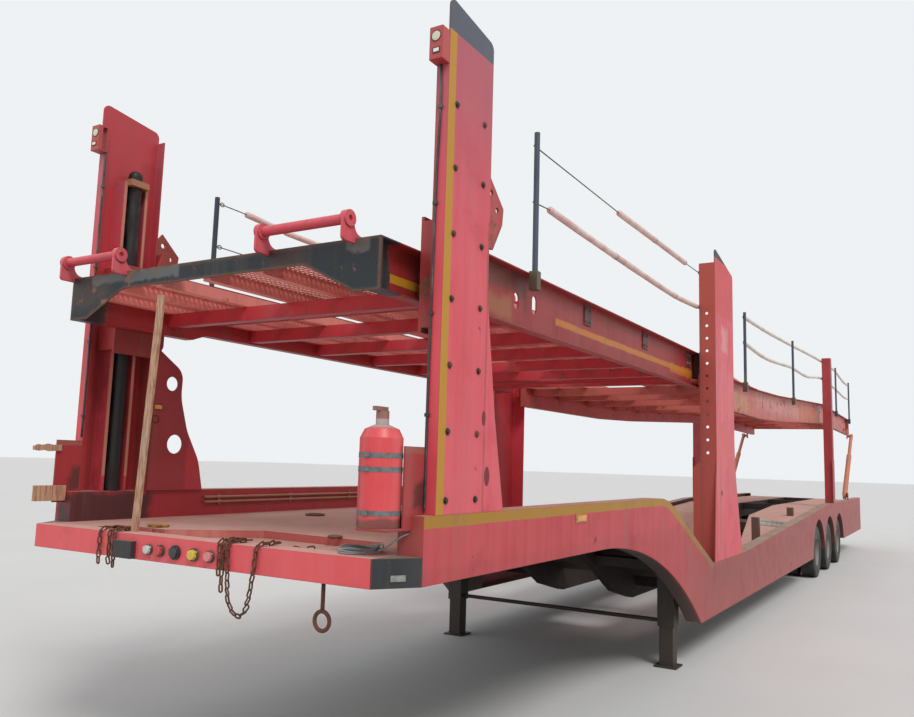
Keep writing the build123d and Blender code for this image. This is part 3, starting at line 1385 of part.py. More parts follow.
def chains():
    """Chains over the beam and on the shelf as slim tubes, and the ring that hangs from it."""
    solids = []
    for points in CHAINS:
        spots = [Vector(at(p[0]), p[1], p[2]) for p in points]
        route = FilletPolyline(*spots, radius=[p[3] if len(p) > 3 else CHAIN_BEND for p in points[1:-1]])
        solids.append(sweep(Plane(origin=route @ 0, z_dir=route % 0) * Circle(CHAIN_RADIUS), path=route))
    station, y, z = RING_PLACE
    ring = Pos(at(station), y, z) * Rot(90, 0, 90) * Torus(RING_RADIUS, RING_BAR)
    stem = rod_z(station, y, RING_BAR, z + RING_RADIUS - RING_BAR / 2, NECK_BOTTOM)
    return solids + [fuse(ring, stem)]


def loose_gear():
    """Rings that lie loose on the beam and the floor."""
    solids = []
    for station, y, z, radius in GEAR_RINGS:
        solids.append(Pos(at(station), y, z + GEAR_BAR) * Torus(radius, GEAR_BAR))
    return solids


def main():
    """Build and write every node."""
    os.makedirs("parts", exist_ok=True)
    save("side_frame_left", side_frame())
    save("side_frame_right", other_side(side_frame()))
    for name, shape in (
        ("front_columns", front_column()),
        ("mid_columns", mid_column()),
        ("rear_columns", rear_column()),
        ("carriages", carriage()),
        ("strut_barrels", strut_barrel()),
        ("strut_rods", strut_rod()),
        ("strut_brackets", strut_base()),
        ("beam_corners", beam_corner()),
        ("lift_cylinders", lift_cylinder()),
        ("mud_flaps", mud_flap()),
        ("front_deck_beams", front_deck_beam()),
        ("aft_deck_beams", aft_deck_beam()),
    ):
        save(name, *on_sides(shape))
    for side, place in (("left", lambda s: s), ("right", other_side)):
        for number, station in enumerate(AXLE_STATIONS, 1):
            save(f"tyres_{number}_{side}", *[place(t) for t in tyres(station)])
            save(f"rim_{number}_{side}", place(rim(station)))
    save("front_beam", front_beam())
    save("couplings", *couplings())
    save("valve_box", valve_box())
    save("neck_floor", neck_floor())
    save("low_floor", *low_floor())
    save("rails", *rails())
    save("cross_members", *cross_members())
    save("leg_beams", *leg_beams())
    save("kingpin", kingpin())
    leg = landing_leg()
    save("landing_legs", fuse(*on_sides(leg), leg_brace()))
    save("axles", *[axle(s) for s in AXLE_STATIONS])
    save("suspension_arms", *[a for s in AXLE_STATIONS for a in on_sides(suspension_arm(s))])
    save("air_springs", *[a for s in AXLE_STATIONS for a in on_sides(air_spring(s))])
    save("rear_panel", *rear_panel())
    save("lamps", *on_sides(tail_lamp()), column_lamp(), open_column_lamp())
    save("front_deck_members", *front_deck_members())
    save("front_deck_floor", *front_deck_floor())
    save("deck_nose", deck_nose())
    save("wheel_stops", *[wheel_stop(*span) for span in STOP_SPANS])
    low = DECK_HIGH - POST_SOCKET_DROP
    save("front_deck_posts", *[post(s, side, low, top) for s, side, top in FRONT_POSTS])
    save("front_deck_ropes", *[post_rope(*row) for row in FRONT_ROPES])
    save("aft_deck_members", *aft_deck_members())
    save("aft_deck_floor", *aft_deck_floor())
    aft_posts = []
    for station, top in AFT_POSTS:
        low = height_on(AFT_TOP, station) - POST_SOCKET_DROP
        aft_posts += [post(station, 1, low, top), post(station, -1, low, top)]
    save("aft_deck_posts", *aft_posts)
    save("aft_deck_ropes", *[post_rope(side, *row) for side in (1, -1) for row in AFT_ROPES])
    save("extinguisher", extinguisher())
    holder = bottle_holder()
    save("bottle_holders", fuse(holder, holder_foot()), other_side(holder))
    save("neck_pipes", neck_pipes())
    save("floor_stands", *floor_stands())
    save("leaning_lath", leaning_lath())
    save("rope_coil", rope_coil())
    line, length, radii = tube(ROPE_ROUTE, ROPE_RADIUS)
    save("rope_line", line)
    print("rope radii", [round(r, 1) for r in radii], "length", round(length), "volume share",
          round(line.volume / (length * math.pi * ROPE_RADIUS ** 2), 3))
    save("chains", *chains())
    save("loose_gear", *loose_gear())


main()
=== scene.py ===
"""Looks of a parked car transporter semi-trailer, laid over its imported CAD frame.

Lengths are metres in the CAD's own frame: X forward, Y left, Z up from the ground. A station is a distance back
from the trailer's foremost point, in millimetres, as in the part's source.
"""

import json
import logging
import math
from contextlib import contextmanager
from dataclasses import dataclass, field
from enum import Enum
from typing import Any, Iterable, Iterator, Optional, Sequence, Union

import bmesh
import bpy
from mathutils import Matrix, Vector

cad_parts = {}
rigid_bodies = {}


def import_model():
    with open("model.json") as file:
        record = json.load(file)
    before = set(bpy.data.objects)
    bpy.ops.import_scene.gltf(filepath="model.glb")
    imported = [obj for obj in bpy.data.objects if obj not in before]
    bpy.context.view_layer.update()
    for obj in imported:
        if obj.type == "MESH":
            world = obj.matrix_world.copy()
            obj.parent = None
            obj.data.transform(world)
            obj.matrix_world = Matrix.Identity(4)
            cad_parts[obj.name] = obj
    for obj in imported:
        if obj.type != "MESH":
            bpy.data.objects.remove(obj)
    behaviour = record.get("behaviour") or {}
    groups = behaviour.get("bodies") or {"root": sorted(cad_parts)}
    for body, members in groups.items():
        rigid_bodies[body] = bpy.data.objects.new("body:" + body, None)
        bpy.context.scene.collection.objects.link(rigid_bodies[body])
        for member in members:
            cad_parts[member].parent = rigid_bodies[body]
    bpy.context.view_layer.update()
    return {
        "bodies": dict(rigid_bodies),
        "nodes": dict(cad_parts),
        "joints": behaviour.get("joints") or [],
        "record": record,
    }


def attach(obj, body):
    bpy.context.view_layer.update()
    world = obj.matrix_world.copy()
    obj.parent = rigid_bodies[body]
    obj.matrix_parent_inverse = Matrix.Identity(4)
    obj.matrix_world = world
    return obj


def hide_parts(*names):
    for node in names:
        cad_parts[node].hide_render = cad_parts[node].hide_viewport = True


LOG = logging.getLogger("trailer")
Colour = tuple[float, float, float]
Point = tuple[float, float, float]
Pair = tuple[float, float]
Line = tuple[Pair, ...]
Shape = bmesh.types.BMesh
Thing = bpy.types.Object
Finish = bpy.types.Material
Skins = dict[str, Finish]
LENGTH = 18200


def at(station: float) -> float:
    """X of a station in metres."""
    return (LENGTH / 2 - station) / 1000


def spot(station: float, y: float, z: float) -> Vector:
    """Place in metres of a station, Y and Z given in millimetres."""
    return Vector((at(station), y / 1000, z / 1000))


class Socket:
    """One output of a node, used in Python arithmetic."""

    def __init__(self, tree: bpy.types.NodeTree, socket: bpy.types.NodeSocket) -> None:
        """Keep the tree and the output."""
        self.tree = tree
        self.socket = socket

    def other(self, output: Union[int, str]) -> "Socket":
        """Another output of the same node."""
        return Socket(self.tree, self.socket.node.outputs[output])

    def _math(self, operation: str, *values: Any, clamp: bool = False) -> "Socket":
        """Add a Math node.

        Args:
            operation: The node's operation.
            values: Its inputs in order, sockets or numbers.
            clamp: Whether the result stays between 0 and 1.

        Returns:
            The node's output.
        """
        node = self.tree.nodes.new("ShaderNodeMath")
        node.operation = operation
        node.use_clamp = clamp
        for target, value in zip(node.inputs, values):
            plug(self.tree, target, value)
        return Socket(self.tree, node.outputs[0])

    def __add__(self, other: Any) -> "Socket":
        """Sum."""
        return self._math("ADD", self, other)

    __radd__ = __add__

    def __sub__(self, other: Any) -> "Socket":
        """Difference."""
        return self._math("SUBTRACT", self, other)

    def __rsub__(self, other: Any) -> "Socket":
        """Difference from a number."""
        return self._math("SUBTRACT", other, self)

    def __mul__(self, other: Any) -> "Socket":
        """Product."""
        return self._math("MULTIPLY", self, other)

    __rmul__ = __mul__

    def __truediv__(self, other: Any) -> "Socket":
        """Quotient."""
        return self._math("DIVIDE", self, other)

    def __pow__(self, other: Any) -> "Socket":
        """Power."""
        return self._math("POWER", self, other)

    def __or__(self, other: Any) -> "Socket":
        """Larger of two masks."""
        return self._math("MAXIMUM", self, other)

    def size(self) -> "Socket":
        """Value without its sign."""
        return self._math("ABSOLUTE", self)

    def soft_min(self, other: "Socket", reach: float) -> "Socket":
        """Smaller of two values, rounded where they are within reach of each other."""
        return self._math("SMOOTH_MIN", self, other, reach)

    def limited(self) -> "Socket":
        """Value held between 0 and 1."""
        return self._math("ADD", self, 0.0, clamp=True)


def plug(tree: bpy.types.NodeTree, target: bpy.types.NodeSocket, value: Any) -> None:
    """Link a socket or set a number, vector or colour on an input.

    Args:
        tree: The node tree.
        target: The input.
        value: A Socket, a number, a text or a tuple of numbers.
    """
    if isinstance(value, Socket):
        tree.links.new(value.socket, target)
    elif isinstance(value, tuple) and target.type == "RGBA":
        target.default_value = (*value, 1.0)
    else:
        target.default_value = value


class Nodes:
    """Node tree that is filled through one method."""

    def __init__(self, tree: bpy.types.NodeTree) -> None:
        """Keep the tree, emptied."""
        self.tree = tree
        tree.nodes.clear()

    def node(self, kind: str, settings: Optional[dict] = None, inputs: Optional[dict] = None,
             output: Union[int, str] = 0) -> Socket:
        """Add any node.

        Args:
            kind: The node's type.
            settings: Its settings, which are set first.
            inputs: Values or links of its sockets, by name or number.
            output: The output to return, by name or number.

        Returns:
            That output.
        """
        node = self.tree.nodes.new(kind)
        for key, value in (settings or {}).items():
            setattr(node, key, value)
        for key, value in (inputs or {}).items():
            plug(self.tree, node.inputs[key], value)
        return Socket(self.tree, node.outputs[output])

    def close(self, kind: str, result: Socket) -> None:
        """Add the tree's output node and link its first input."""
        plug(self.tree, self.tree.nodes.new(kind).inputs[0], result)


class Recipe(Nodes):
    """Node tree of one material."""

    def __init__(self, name: str) -> None:
        """Start an empty material.

        Args:
            name: The material's name.
        """
        self.material = bpy.data.materials.new(name)
        self.material.use_nodes = True
        super().__init__(self.material.node_tree)
        self.place = self.node("ShaderNodeTexCoord", output="Object")
        self.x = self.node("ShaderNodeSeparateXYZ", inputs={0: self.place})
        self.y, self.z = self.x.other(1), self.x.other(2)

    def noise(self, scale: float, detail: float = 3.0, stretch: Point = (1, 1, 1), shift: float = 0.0,
              roughness: float = 0.55) -> Socket:
        """Noise between 0 and 1 over the object.

        Args:
            scale: Noise scale per metre.
            detail: Octaves.
            stretch: Scale of each axis before the noise.
            shift: Distance moved, to get another pattern.
            roughness: Weight of the fine octaves.

        Returns:
            The noise value.
        """
        place = self.node("ShaderNodeMapping", inputs={"Vector": self.place, "Scale": stretch,
                                                        "Location": (shift, 1.7 * shift, 0.6 * shift)})
        return self.node("ShaderNodeTexNoise", inputs={"Vector": place, "Scale": scale, "Detail": detail,
                                                       "Roughness": roughness})

    def ease(self, value: Any, low: float, high: float) -> Socket:
        """Smooth step of a value from 0 at low to 1 at high."""
        return self.node("ShaderNodeMapRange", {"interpolation_type": "SMOOTHSTEP"},
                         {"Value": value, "From Min": low, "From Max": high, "To Min": 0.0, "To Max": 1.0})

    def step(self, value: Any, middle: float, soft: float) -> Socket:
        """Mask that rises from 0 to 1 about a middle value."""
        return self.ease(value, middle - soft, middle + soft)

    def band(self, value: Socket, low: float, high: float, soft: float = 0.002) -> Socket:
        """Mask that is 1 between two values, with soft edges."""
        return self.step(value, low, soft) * (1 - self.step(value, high, soft))

    def mix(self, mask: Any, first: Any, second: Any) -> Socket:
        """Blend two colours.

        Args:
            mask: 0 for the first, 1 for the second.
            first: Colour or socket.
            second: Colour or socket.

        Returns:
            The blended colour.
        """
        return self.node("ShaderNodeMix", {"data_type": "RGBA"}, {0: mask, 6: first, 7: second}, 2)

    def facing(self, direction: Union[Point, Socket]) -> Socket:
        """How far the surface faces a direction, from -1 to 1."""
        normal = self.node("ShaderNodeNewGeometry", output="Normal")
        return self.node("ShaderNodeVectorMath", {"operation": "DOT_PRODUCT"}, {0: normal, 1: direction}, "Value")

    def rounded(self, radius: float) -> Socket:
        """Normal of the surface with its edges rounded to a radius in metres."""
        return self.node("ShaderNodeBevel", {"samples": 4}, {"Radius": radius})

    def edges(self, radius: float) -> Socket:
        """Mask of the outer and inner edges within a radius in metres."""
        return 1 - self.facing(self.rounded(radius))

    def finish(self, colour: Any, roughness: Any, metallic: Any = 0.0, bump: Optional[Socket] = None,
               depth: float = 0.001, round_edges: float = 0.0, specular: float = 0.5) -> Finish:
        """Close the material with its shader.

        Args:
            colour: Base colour.
            roughness: Roughness.
            metallic: Metallic share.
            bump: Height for the bump, or None.
            depth: Height of the bump in metres.
            round_edges: Radius that edges are shaded with.
            specular: Strength of the sheen.

        Returns:
            The material.
        """
        sockets = {"Base Color": colour, "Roughness": roughness, "Metallic": metallic, "Specular IOR Level": specular}
        if round_edges:
            sockets["Normal"] = self.rounded(round_edges)
        if bump is not None:
            inputs = {"Height": bump, "Distance": depth, "Strength": 1.0}
            if "Normal" in sockets:
                inputs["Normal"] = sockets["Normal"]
            sockets["Normal"] = self.node("ShaderNodeBump", inputs=inputs)
        self.close("ShaderNodeOutputMaterial", self.node("ShaderNodeBsdfPrincipled", inputs=sockets))
        return self.material


@dataclass(frozen=True)
class Patch:
    """Area of other paint, wear, painted shade or a painted highlight on a surface, as a box in the model, as each
    patch says.
    """

    colour: Colour
    stations: Pair = (-1000, 20000)
    ys: Pair = (-3000, 3000)
    zs: Pair = (-1000, 5000)
    soft: float = 0.002
    ragged: float = 0.0
    strength: float = 1.0

    def mask(self, recipe: Recipe) -> Socket:
        """Mask of the patch in a recipe.

        Args:
            recipe: The material's recipe.

        Returns:
            The mask, from 0 to 1.
        """
        x, z = recipe.x, recipe.z
        if self.ragged:
            wander = (recipe.noise(9.0, 4.0, shift=3.1) - 0.5) * self.ragged
            x, z = x + wander, z + wander
        mask = recipe.band(x, at(self.stations[1]), at(self.stations[0]), self.soft)
        for value, (low, high) in ((z, self.zs), (recipe.y, self.ys)):
            mask = mask * recipe.band(value, low / 1000, high / 1000, self.soft)
        return mask * self.strength


@dataclass(frozen=True)
class Disc:
    """Round or oval area of other paint or painted shade, on faces that look sideways."""

    colour: Colour
    station: float
    z: float
    radius: float
    ys: Pair
    squeeze: float = 1.0
    soft: float = 0.003
    strength: float = 1.0

    def mask(self, recipe: Recipe) -> Socket:
        """Mask of the disc in a recipe.

        Args:
            recipe: The material's recipe.

        Returns:
            The mask, from 0 to 1.
        """
        across = (recipe.x - at(self.station)) / self.squeeze
        above = recipe.z - self.z / 1000
        reach = (across * across + above * above) ** 0.5
        mask = 1 - recipe.step(reach, self.radius / 1000, self.soft)
        return mask * recipe.band(recipe.y, self.ys[0] / 1000, self.ys[1] / 1000) * self.strength


@dataclass(frozen=True)
class EdgeStripe:
    """Stripe along the top edge of a side frame, round its bend and down the slope."""

    colour: Colour
    width: float = 0.053
    top: float = 1.412
    bend: float = 3609
    foot: Pair = (5004, 0.803)
    stations: Pair = (222, 4965)
    rounding: float = 0.11
    soft: float = 0.002
    wander: float = 0.010
    wear: float = 0.45
    face_y: float = 1.240

    def mask(self, recipe: Recipe) -> Socket:
        """Mask of the stripe in a recipe.

        Args:
            recipe: The material's recipe.

        Returns:
            The mask, from 0 to 1.
        """
        run = (self.foot[0] - self.bend) / 1000
        fall = math.atan2(self.top - self.foot[1], run)
        level = self.top - recipe.z
        behind = at(self.bend) - recipe.x
        slope = (level - math.tan(fall) * behind) * math.cos(fall)
        depth = level.soft_min(slope, self.rounding) + (recipe.noise(7.0, 5.0, shift=6.0) - 0.5) * self.wander
        mask = 1 - recipe.step(depth, self.width, self.soft)
        mask = mask * recipe.band(recipe.x, at(self.stations[1]), at(self.stations[0]), 2 * self.soft)
        worn = recipe.ease(recipe.noise(16.0, 6.0, shift=9.0, roughness=0.7), 0.60, 0.72) * self.wear
        return mask * recipe.step(recipe.y.size(), self.face_y, self.soft) * (1 - worn)


@dataclass(frozen=True)
class OldPaint:
    """Old paint on steel: faded (partly painted light on faces turned out and up), streaked, dusty, with painted shade
    on faces turned in, down or back, and rusty along its edges.
    """

    name: str
    colour: Colour = (0.66, 0.055, 0.075)
    # paler colour of faces turned out and up: sun fade of the paint, partly painted light
    faded_and_lit: Colour = (0.70, 0.135, 0.165)
    # colour of faces turned in, down or back: painted shade, or painted light where it is paler than the paint
    painted_shading: Colour = (0.36, 0.022, 0.026)
    bleached: Colour = (0.52, 0.125, 0.160)
    rust: Colour = (0.11, 0.040, 0.022)
    dust: Colour = (0.42, 0.30, 0.23)
    grime: Colour = (0.20, 0.10, 0.07)
    # share of the fade and painted light on faces turned out and up
    fade_and_light: float = 0.7
    # share of that painted shade on faces turned in, down or back
    painted_shading_share: float = 0.8
    bleach: float = 0.0
    grime_share: float = 0.45
    rust_share: float = 0.3
    dust_share: float = 0.2
    top_dust_and_light: float = 0.45
    edge_wear: float = 0.6
    edge_reach: float = 0.010
    chips: float = 0.25
    roughness: float = 0.40
    patches: tuple[Union[Patch, Disc, EdgeStripe], ...] = ()

    def base(self, r: Recipe, broad: Socket, cloudy: Socket) -> Socket:
        """Paint colour before dirt and rust, with painted light and painted shade by the way each face turns.

        Args:
            r: The recipe.
            broad: Wide noise.
            cloudy: Middle noise.

        Returns:
            The colour.
        """
        streaks = r.noise(2.2, 4.0, stretch=(9.0, 9.0, 0.45), shift=5.0)
        # Faces turned out and up go paler: partly the paint's sun fade, partly painted light where those faces catch
        # the sun.
        outward = r.ease(r.facing((0.25, 0.75, 0.6)), -0.1, 0.9) | r.ease(r.facing((0.25, -0.75, 0.6)), -0.1, 0.9)
        chalk_and_light = (r.ease(broad * 0.55 + streaks * 0.45, 0.38, 0.64) * 0.75 + 0.25) * outward * self.fade_and_light
        colour = r.mix(chalk_and_light, self.colour, self.faded_and_lit)
        colour = r.mix(r.ease(cloudy, 0.50, 0.74) * 0.4, colour, tuple(c * 0.72 for c in self.colour))
        high = r.ease(r.z + (broad - 0.5) * 0.5, 2.5, 3.6) * self.bleach
        colour = r.mix(high, colour, self.bleached)
        # Painted shade: faces turned in towards the middle, down or back are mixed towards a darker colour for the
        # shade they lie in; a paint that gives a paler colour here paints light instead.
        inward = r.ease(0 - r.facing((0.0, 1.0, 0.0)) * r.y, 0.2, 0.8)
        down = r.ease(r.facing((0.0, 0.0, -1.0)), 0.3, 0.9)
        back = r.ease(r.facing((-1.0, 0.0, 0.0)), 0.5, 0.9) * 0.5
        return r.mix((inward | down | back) * self.painted_shading_share * (0.75 + 0.5 * cloudy), colour, self.painted_shading)

    def make(self) -> Finish:
        """Build the material.

        Returns:
            The material.
        """
        r = Recipe(self.name)
        broad = r.noise(0.9, 4.0)
        cloudy = r.noise(4.5, 5.0, shift=2.0)
        fine = r.noise(60.0, 3.0, shift=1.0)
        colour = self.base(r, broad, cloudy)
        for patch in self.patches:
            colour = r.mix(patch.mask(r), colour, patch.colour)
        runs = r.ease(r.noise(3.4, 6.0, stretch=(3.6, 3.6, 0.22), shift=13.0, roughness=0.58), 0.50, 0.80)
        upright = 1 - r.ease(r.facing((0.0, 0.0, 1.0)).size(), 0.4, 0.8)
        colour = r.mix(runs * upright * self.grime_share, colour, self.grime)
        chip = r.ease(r.noise(38.0, 7.0, shift=7.0, roughness=0.72), 0.66, 0.72) * self.chips
        colour = r.mix(chip, colour, tuple(min(1.0, 0.12 + 0.9 * c) for c in self.faded_and_lit))
        edge = r.ease(r.edges(self.edge_reach) * (0.35 + 1.3 * cloudy), 0.05, 0.32) * self.edge_wear
        spots = r.ease(r.noise(7.0, 8.0, shift=11.0, roughness=0.72) + r.ease(broad, 0.45, 0.7) * 0.08,
                       0.72 - 0.14 * self.rust_share, 0.78 - 0.14 * self.rust_share) * (self.rust_share > 0)
        rust = (edge | spots).limited()
        rusty = r.mix(r.noise(35.0, 4.0, shift=4.0), self.rust, tuple(min(1.0, 2.4 * c) for c in self.rust))
        colour = r.mix(rust, colour, rusty)
        low = 1 - r.ease(r.z + (broad - 0.5) * 0.6, 0.25, 0.95)
        # Dust on faces turned up, partly also painted light falling on their tops.
        top = r.ease(r.facing((0.0, 0.0, 1.0)), 0.4, 0.9) * self.top_dust_and_light
        dusty = ((low * self.dust_share | top) * (0.35 + 1.0 * r.noise(3.0, 6.0, shift=8.0))).limited()
        colour = r.mix(dusty, colour, self.dust)
        rough = self.roughness + 0.18 * cloudy + 0.35 * rust + 0.3 * dusty
        height = fine * 0.3 - 0.9 * rust + 0.35 * cloudy
        return r.finish(colour, rough.limited(), 0.0, height, 0.0012, 0.004, specular=0.45)


@dataclass(frozen=True)
class RustedSteel:
    """Bare steel gone brown, with darker grease and bright worn spots."""

    name: str
    rust: Colour = (0.17, 0.065, 0.032)
    grease: Colour = (0.025, 0.018, 0.015)
    bright: Colour = (0.36, 0.32, 0.29)
    grease_share: float = 0.5
    bright_share: float = 0.3

    def make(self) -> Finish:
        """Build the material.

        Returns:
            The material.
        """
        r = Recipe(self.name)
        mottled = r.noise(22.0, 6.0)
        greasy = r.ease(r.noise(5.0, 4.0, shift=2.0), 0.62 - 0.3 * self.grease_share, 0.85 - 0.3 * self.grease_share)
        worn = r.ease(r.noise(30.0, 3.0, shift=6.0) + r.edges(0.006) * 0.5, 0.72, 0.85) * self.bright_share
        colour = r.mix(mottled, tuple(0.55 * c for c in self.rust), tuple(1.5 * c for c in self.rust))
        colour = r.mix(worn, r.mix(greasy, colour, self.grease), self.bright)
        rough = 0.85 - 0.35 * greasy - 0.35 * worn
        return r.finish(colour, rough, 0.6 * worn + 0.15, mottled, 0.001, 0.003)


@dataclass(frozen=True)
class Rubber:
    """Dusty black rubber."""

    name: str
    colour: Colour = (0.022, 0.022, 0.023)
    dust: Colour = (0.16, 0.135, 0.11)
    dust_share: float = 0.5

    def make(self) -> Finish:
        """Build the material.

        Returns:
            The material.
        """
        r = Recipe(self.name)
        cloudy = r.noise(6.0, 6.0)
        dusty = r.ease(cloudy, 0.35, 0.75) * self.dust_share
        colour = r.mix(dusty, self.colour, self.dust)
        return r.finish(colour, 0.62 + 0.25 * dusty, 0.0, r.noise(90.0, 4.0, shift=1.0), 0.0006)


@dataclass(frozen=True)
class Plain:
    """Plastic, glass or rubber-like skin with a light mottle and dust."""

    name: str
    colour: Colour
    second: Colour
    roughness: float = 0.4
    scale: float = 25.0
    metallic: float = 0.0
    dust_share: float = 0.3
    bump: float = 0.0004

    def make(self) -> Finish:
        """Build the material.

        Returns:
            The material.
        """
        r = Recipe(self.name)
        mottled = r.noise(self.scale, 5.0)
        colour = r.mix(r.ease(mottled, 0.3, 0.7), self.colour, self.second)
        dusty = r.ease(r.noise(self.scale / 4, 5.0, shift=3.0), 0.45, 0.75) * self.dust_share
        colour = r.mix(dusty, colour, (0.36, 0.31, 0.25))
        return r.finish(colour, (self.roughness + 0.15 * mottled + 0.3 * dusty).limited(), self.metallic, mottled,
                        self.bump)


@dataclass(frozen=True)
class Wood:
    """Raw softwood with long grain along Z."""

    name: str
    pale: Colour = (0.52, 0.31, 0.20)
    deep: Colour = (0.32, 0.16, 0.09)

    def make(self) -> Finish:
        """Build the material.

        Returns:
            The material.
        """
        r = Recipe(self.name)
        grain = r.noise(18.0, 6.0, stretch=(6.0, 6.0, 0.5))
        grey = r.noise(3.0, 3.0, shift=4.0)
        colour = r.mix(r.ease(grain, 0.42, 0.64), self.pale, self.deep)
        colour = r.mix(r.ease(grey, 0.5, 0.8) * 0.4, colour, (0.36, 0.33, 0.29))
        return r.finish(colour, 0.75 + 0.1 * grain, 0.0, grain, 0.0008)


@dataclass(frozen=True)
class Fibre:
    """Laid fibre rope, with its strands across the length."""

    name: str
    colour: Colour = (0.40, 0.43, 0.42)
    deep: Colour = (0.17, 0.18, 0.18)

    def make(self) -> Finish:
        """Build the material.

        Returns:
            The material.
        """
        r = Recipe(self.name)
        hairy = r.noise(220.0, 4.0)
        colour = r.mix(r.ease(hairy, 0.35, 0.65), self.deep, self.colour)
        colour = r.mix(r.ease(r.noise(12.0, 3.0, shift=2.0), 0.5, 0.75) * 0.5, colour, (0.40, 0.38, 0.31))
        return r.finish(colour, 0.85, 0.0, hairy, 0.0008)


def circle(centre: Vector, across: Sequence[float], up: Sequence[float], count: int) -> list[Vector]:
    """Points of a circle or an oval.

    Args:
        centre: Its middle.
        across: Its half width as a vector.
        up: Its half height as a vector.
        count: Number of points.

    Returns:
        The points in order.
    """
    turns = (2 * math.pi * k / count for k in range(count))
    return [centre + math.cos(a) * Vector(across) + math.sin(a) * Vector(up) for a in turns]


def turned(place: Sequence[float], angle: float, axis: str) -> Matrix:
    """Matrix of a place, turned there about one axis."""
    return Matrix.Translation(place) @ Matrix.Rotation(angle, 4, axis)


def link_object(name: str, data: Any) -> Thing:
    """Link a new object that shows a mesh, a curve, a lamp or a camera.

    Args:
        name: The object's name.
        data: What it shows.

    Returns:
        The object, at the origin.
    """
    made = bpy.data.objects.new(name, data)
    bpy.context.scene.collection.objects.link(made)
    return made


def mesh_object(name: str, mesh: bpy.types.Mesh, *materials: Finish) -> Thing:
    """Link a new object with a mesh and its materials.

    Args:
        name: The object's name.
        mesh: Its mesh.
        materials: Materials for the slots.

    Returns:
        The object, at the origin.
    """
    for material in materials:
        mesh.materials.append(material)
    return link_object(name, mesh)


def from_bmesh(name: str, shape: Shape, *materials: Finish, smooth: bool = False) -> Thing:
    """Turn a bmesh into an object with outward normals.

    Args:
        name: The object's name.
        shape: The bmesh, freed here.
        materials: Materials for the slots.
        smooth: Whether faces are shaded smooth.

    Returns:
        The object.
    """
    bmesh.ops.remove_doubles(shape, verts=shape.verts, dist=1e-6)
    bmesh.ops.recalc_face_normals(shape, faces=shape.faces)
    for face in shape.faces:
        face.smooth = smooth
    mesh = bpy.data.meshes.new(name)
    shape.to_mesh(mesh)
    shape.free()
    return mesh_object(name, mesh, *materials)


def evaluated(made: Thing) -> bpy.types.Mesh:
    """Plain mesh of an object as its modifiers leave it."""
    graph = bpy.context.evaluated_depsgraph_get()
    return bpy.data.meshes.new_from_object(made.evaluated_get(graph), depsgraph=graph)


@contextmanager
def grown(piece: Thing) -> Iterator[Shape]:
    """Open a finished piece as a bmesh and write it back with outward normals.

    Args:
        piece: The piece, a mesh object.

    Yields:
        The bmesh.
    """
    shape = bmesh.new()
    shape.from_mesh(piece.data)
    yield shape
    bmesh.ops.recalc_face_normals(shape, faces=shape.faces)
    shape.to_mesh(piece.data)
    shape.free()


def add_curve(name: str, kind: str, lines: Sequence[Sequence[Vector]], resolution: int) -> Thing:
    """Link a new curve object.

    Args:
        name: Its name.
        kind: Kind of its splines, POLY or NURBS.
        lines: Points of each spline.
        resolution: Steps between two points.

    Returns:
        The object.
    """
    data = bpy.data.curves.new(name, "CURVE")
    data.dimensions = "3D"
    data.resolution_u = resolution
    for places in lines:
        spline = data.splines.new(kind)
        spline.points.add(len(places) - 1)
        for point, place in zip(spline.points, places):
            point.co = (*place, 1.0)
    return link_object(name, data)


def add_box(shape: Shape, low: Sequence[float], high: Sequence[float], bevel: float = 0.0,
            material: int = 0) -> None:
    """Add a box, with bevelled edges if asked.

    Args:
        shape: The bmesh.
        low: One corner.
        high: The opposite corner.
        bevel: Width of the bevel.
        material: Material slot of its faces.
    """
    size = [abs(b - a) for a, b in zip(low, high)]
    middle = [(a + b) / 2 for a, b in zip(low, high)]
    made = bmesh.ops.create_cube(shape, size=1.0, matrix=Matrix.Translation(middle) @ Matrix.Diagonal((*size, 1.0)))
    for face in {f for v in made["verts"] for f in v.link_faces}:
        face.material_index = material
    if bevel:
        edges = {e for v in made["verts"] for e in v.link_edges}
        bmesh.ops.bevel(shape, geom=list(edges), offset=bevel, segments=2, affect="EDGES", profile=0.7, material=-1)


def add_block(shape: Shape, middle: Sequence[float], half: Sequence[float], bevel: float = 0.0,
              material: int = 0) -> None:
    """Add a box by its middle and half its size.

    Args:
        shape: The bmesh.
        middle: Its middle.
        half: Half its length on each axis.
        bevel: Width of the bevel.
        material: Material slot of its faces.
    """
    low, high = ([m + sign * h for m, h in zip(middle, half)] for sign in (-1, 1))
    add_box(shape, low, high, bevel, material)


def add_turned(shape: Shape, profile: Sequence[Pair], place: Matrix, segments: int = 24,
               material: int = 0) -> None:
    """Add a body of revolution about the place's Z axis.

    Args:
        shape: The bmesh.
        profile: (radius, height) points; a radius of 0 closes an end.
        place: Matrix that sets the body in place.
        segments: Faces round the axis.
        material: Material slot of its faces.
    """
    rings = []
    for radius, height in profile:
        middle = Vector((0, 0, height))
        points = circle(middle, (radius, 0, 0), (0, radius, 0), segments) if radius else [middle]
        rings.append([shape.verts.new(place @ point) for point in points])
    for one, two in zip(rings, rings[1:]):
        for k in range(segments):
            corners = [one[k % len(one)], one[(k + 1) % len(one)], two[(k + 1) % len(two)], two[k % len(two)]]
            corners = list(dict.fromkeys(corners))
            if len(corners) > 2:
                shape.faces.new(corners).material_index = material


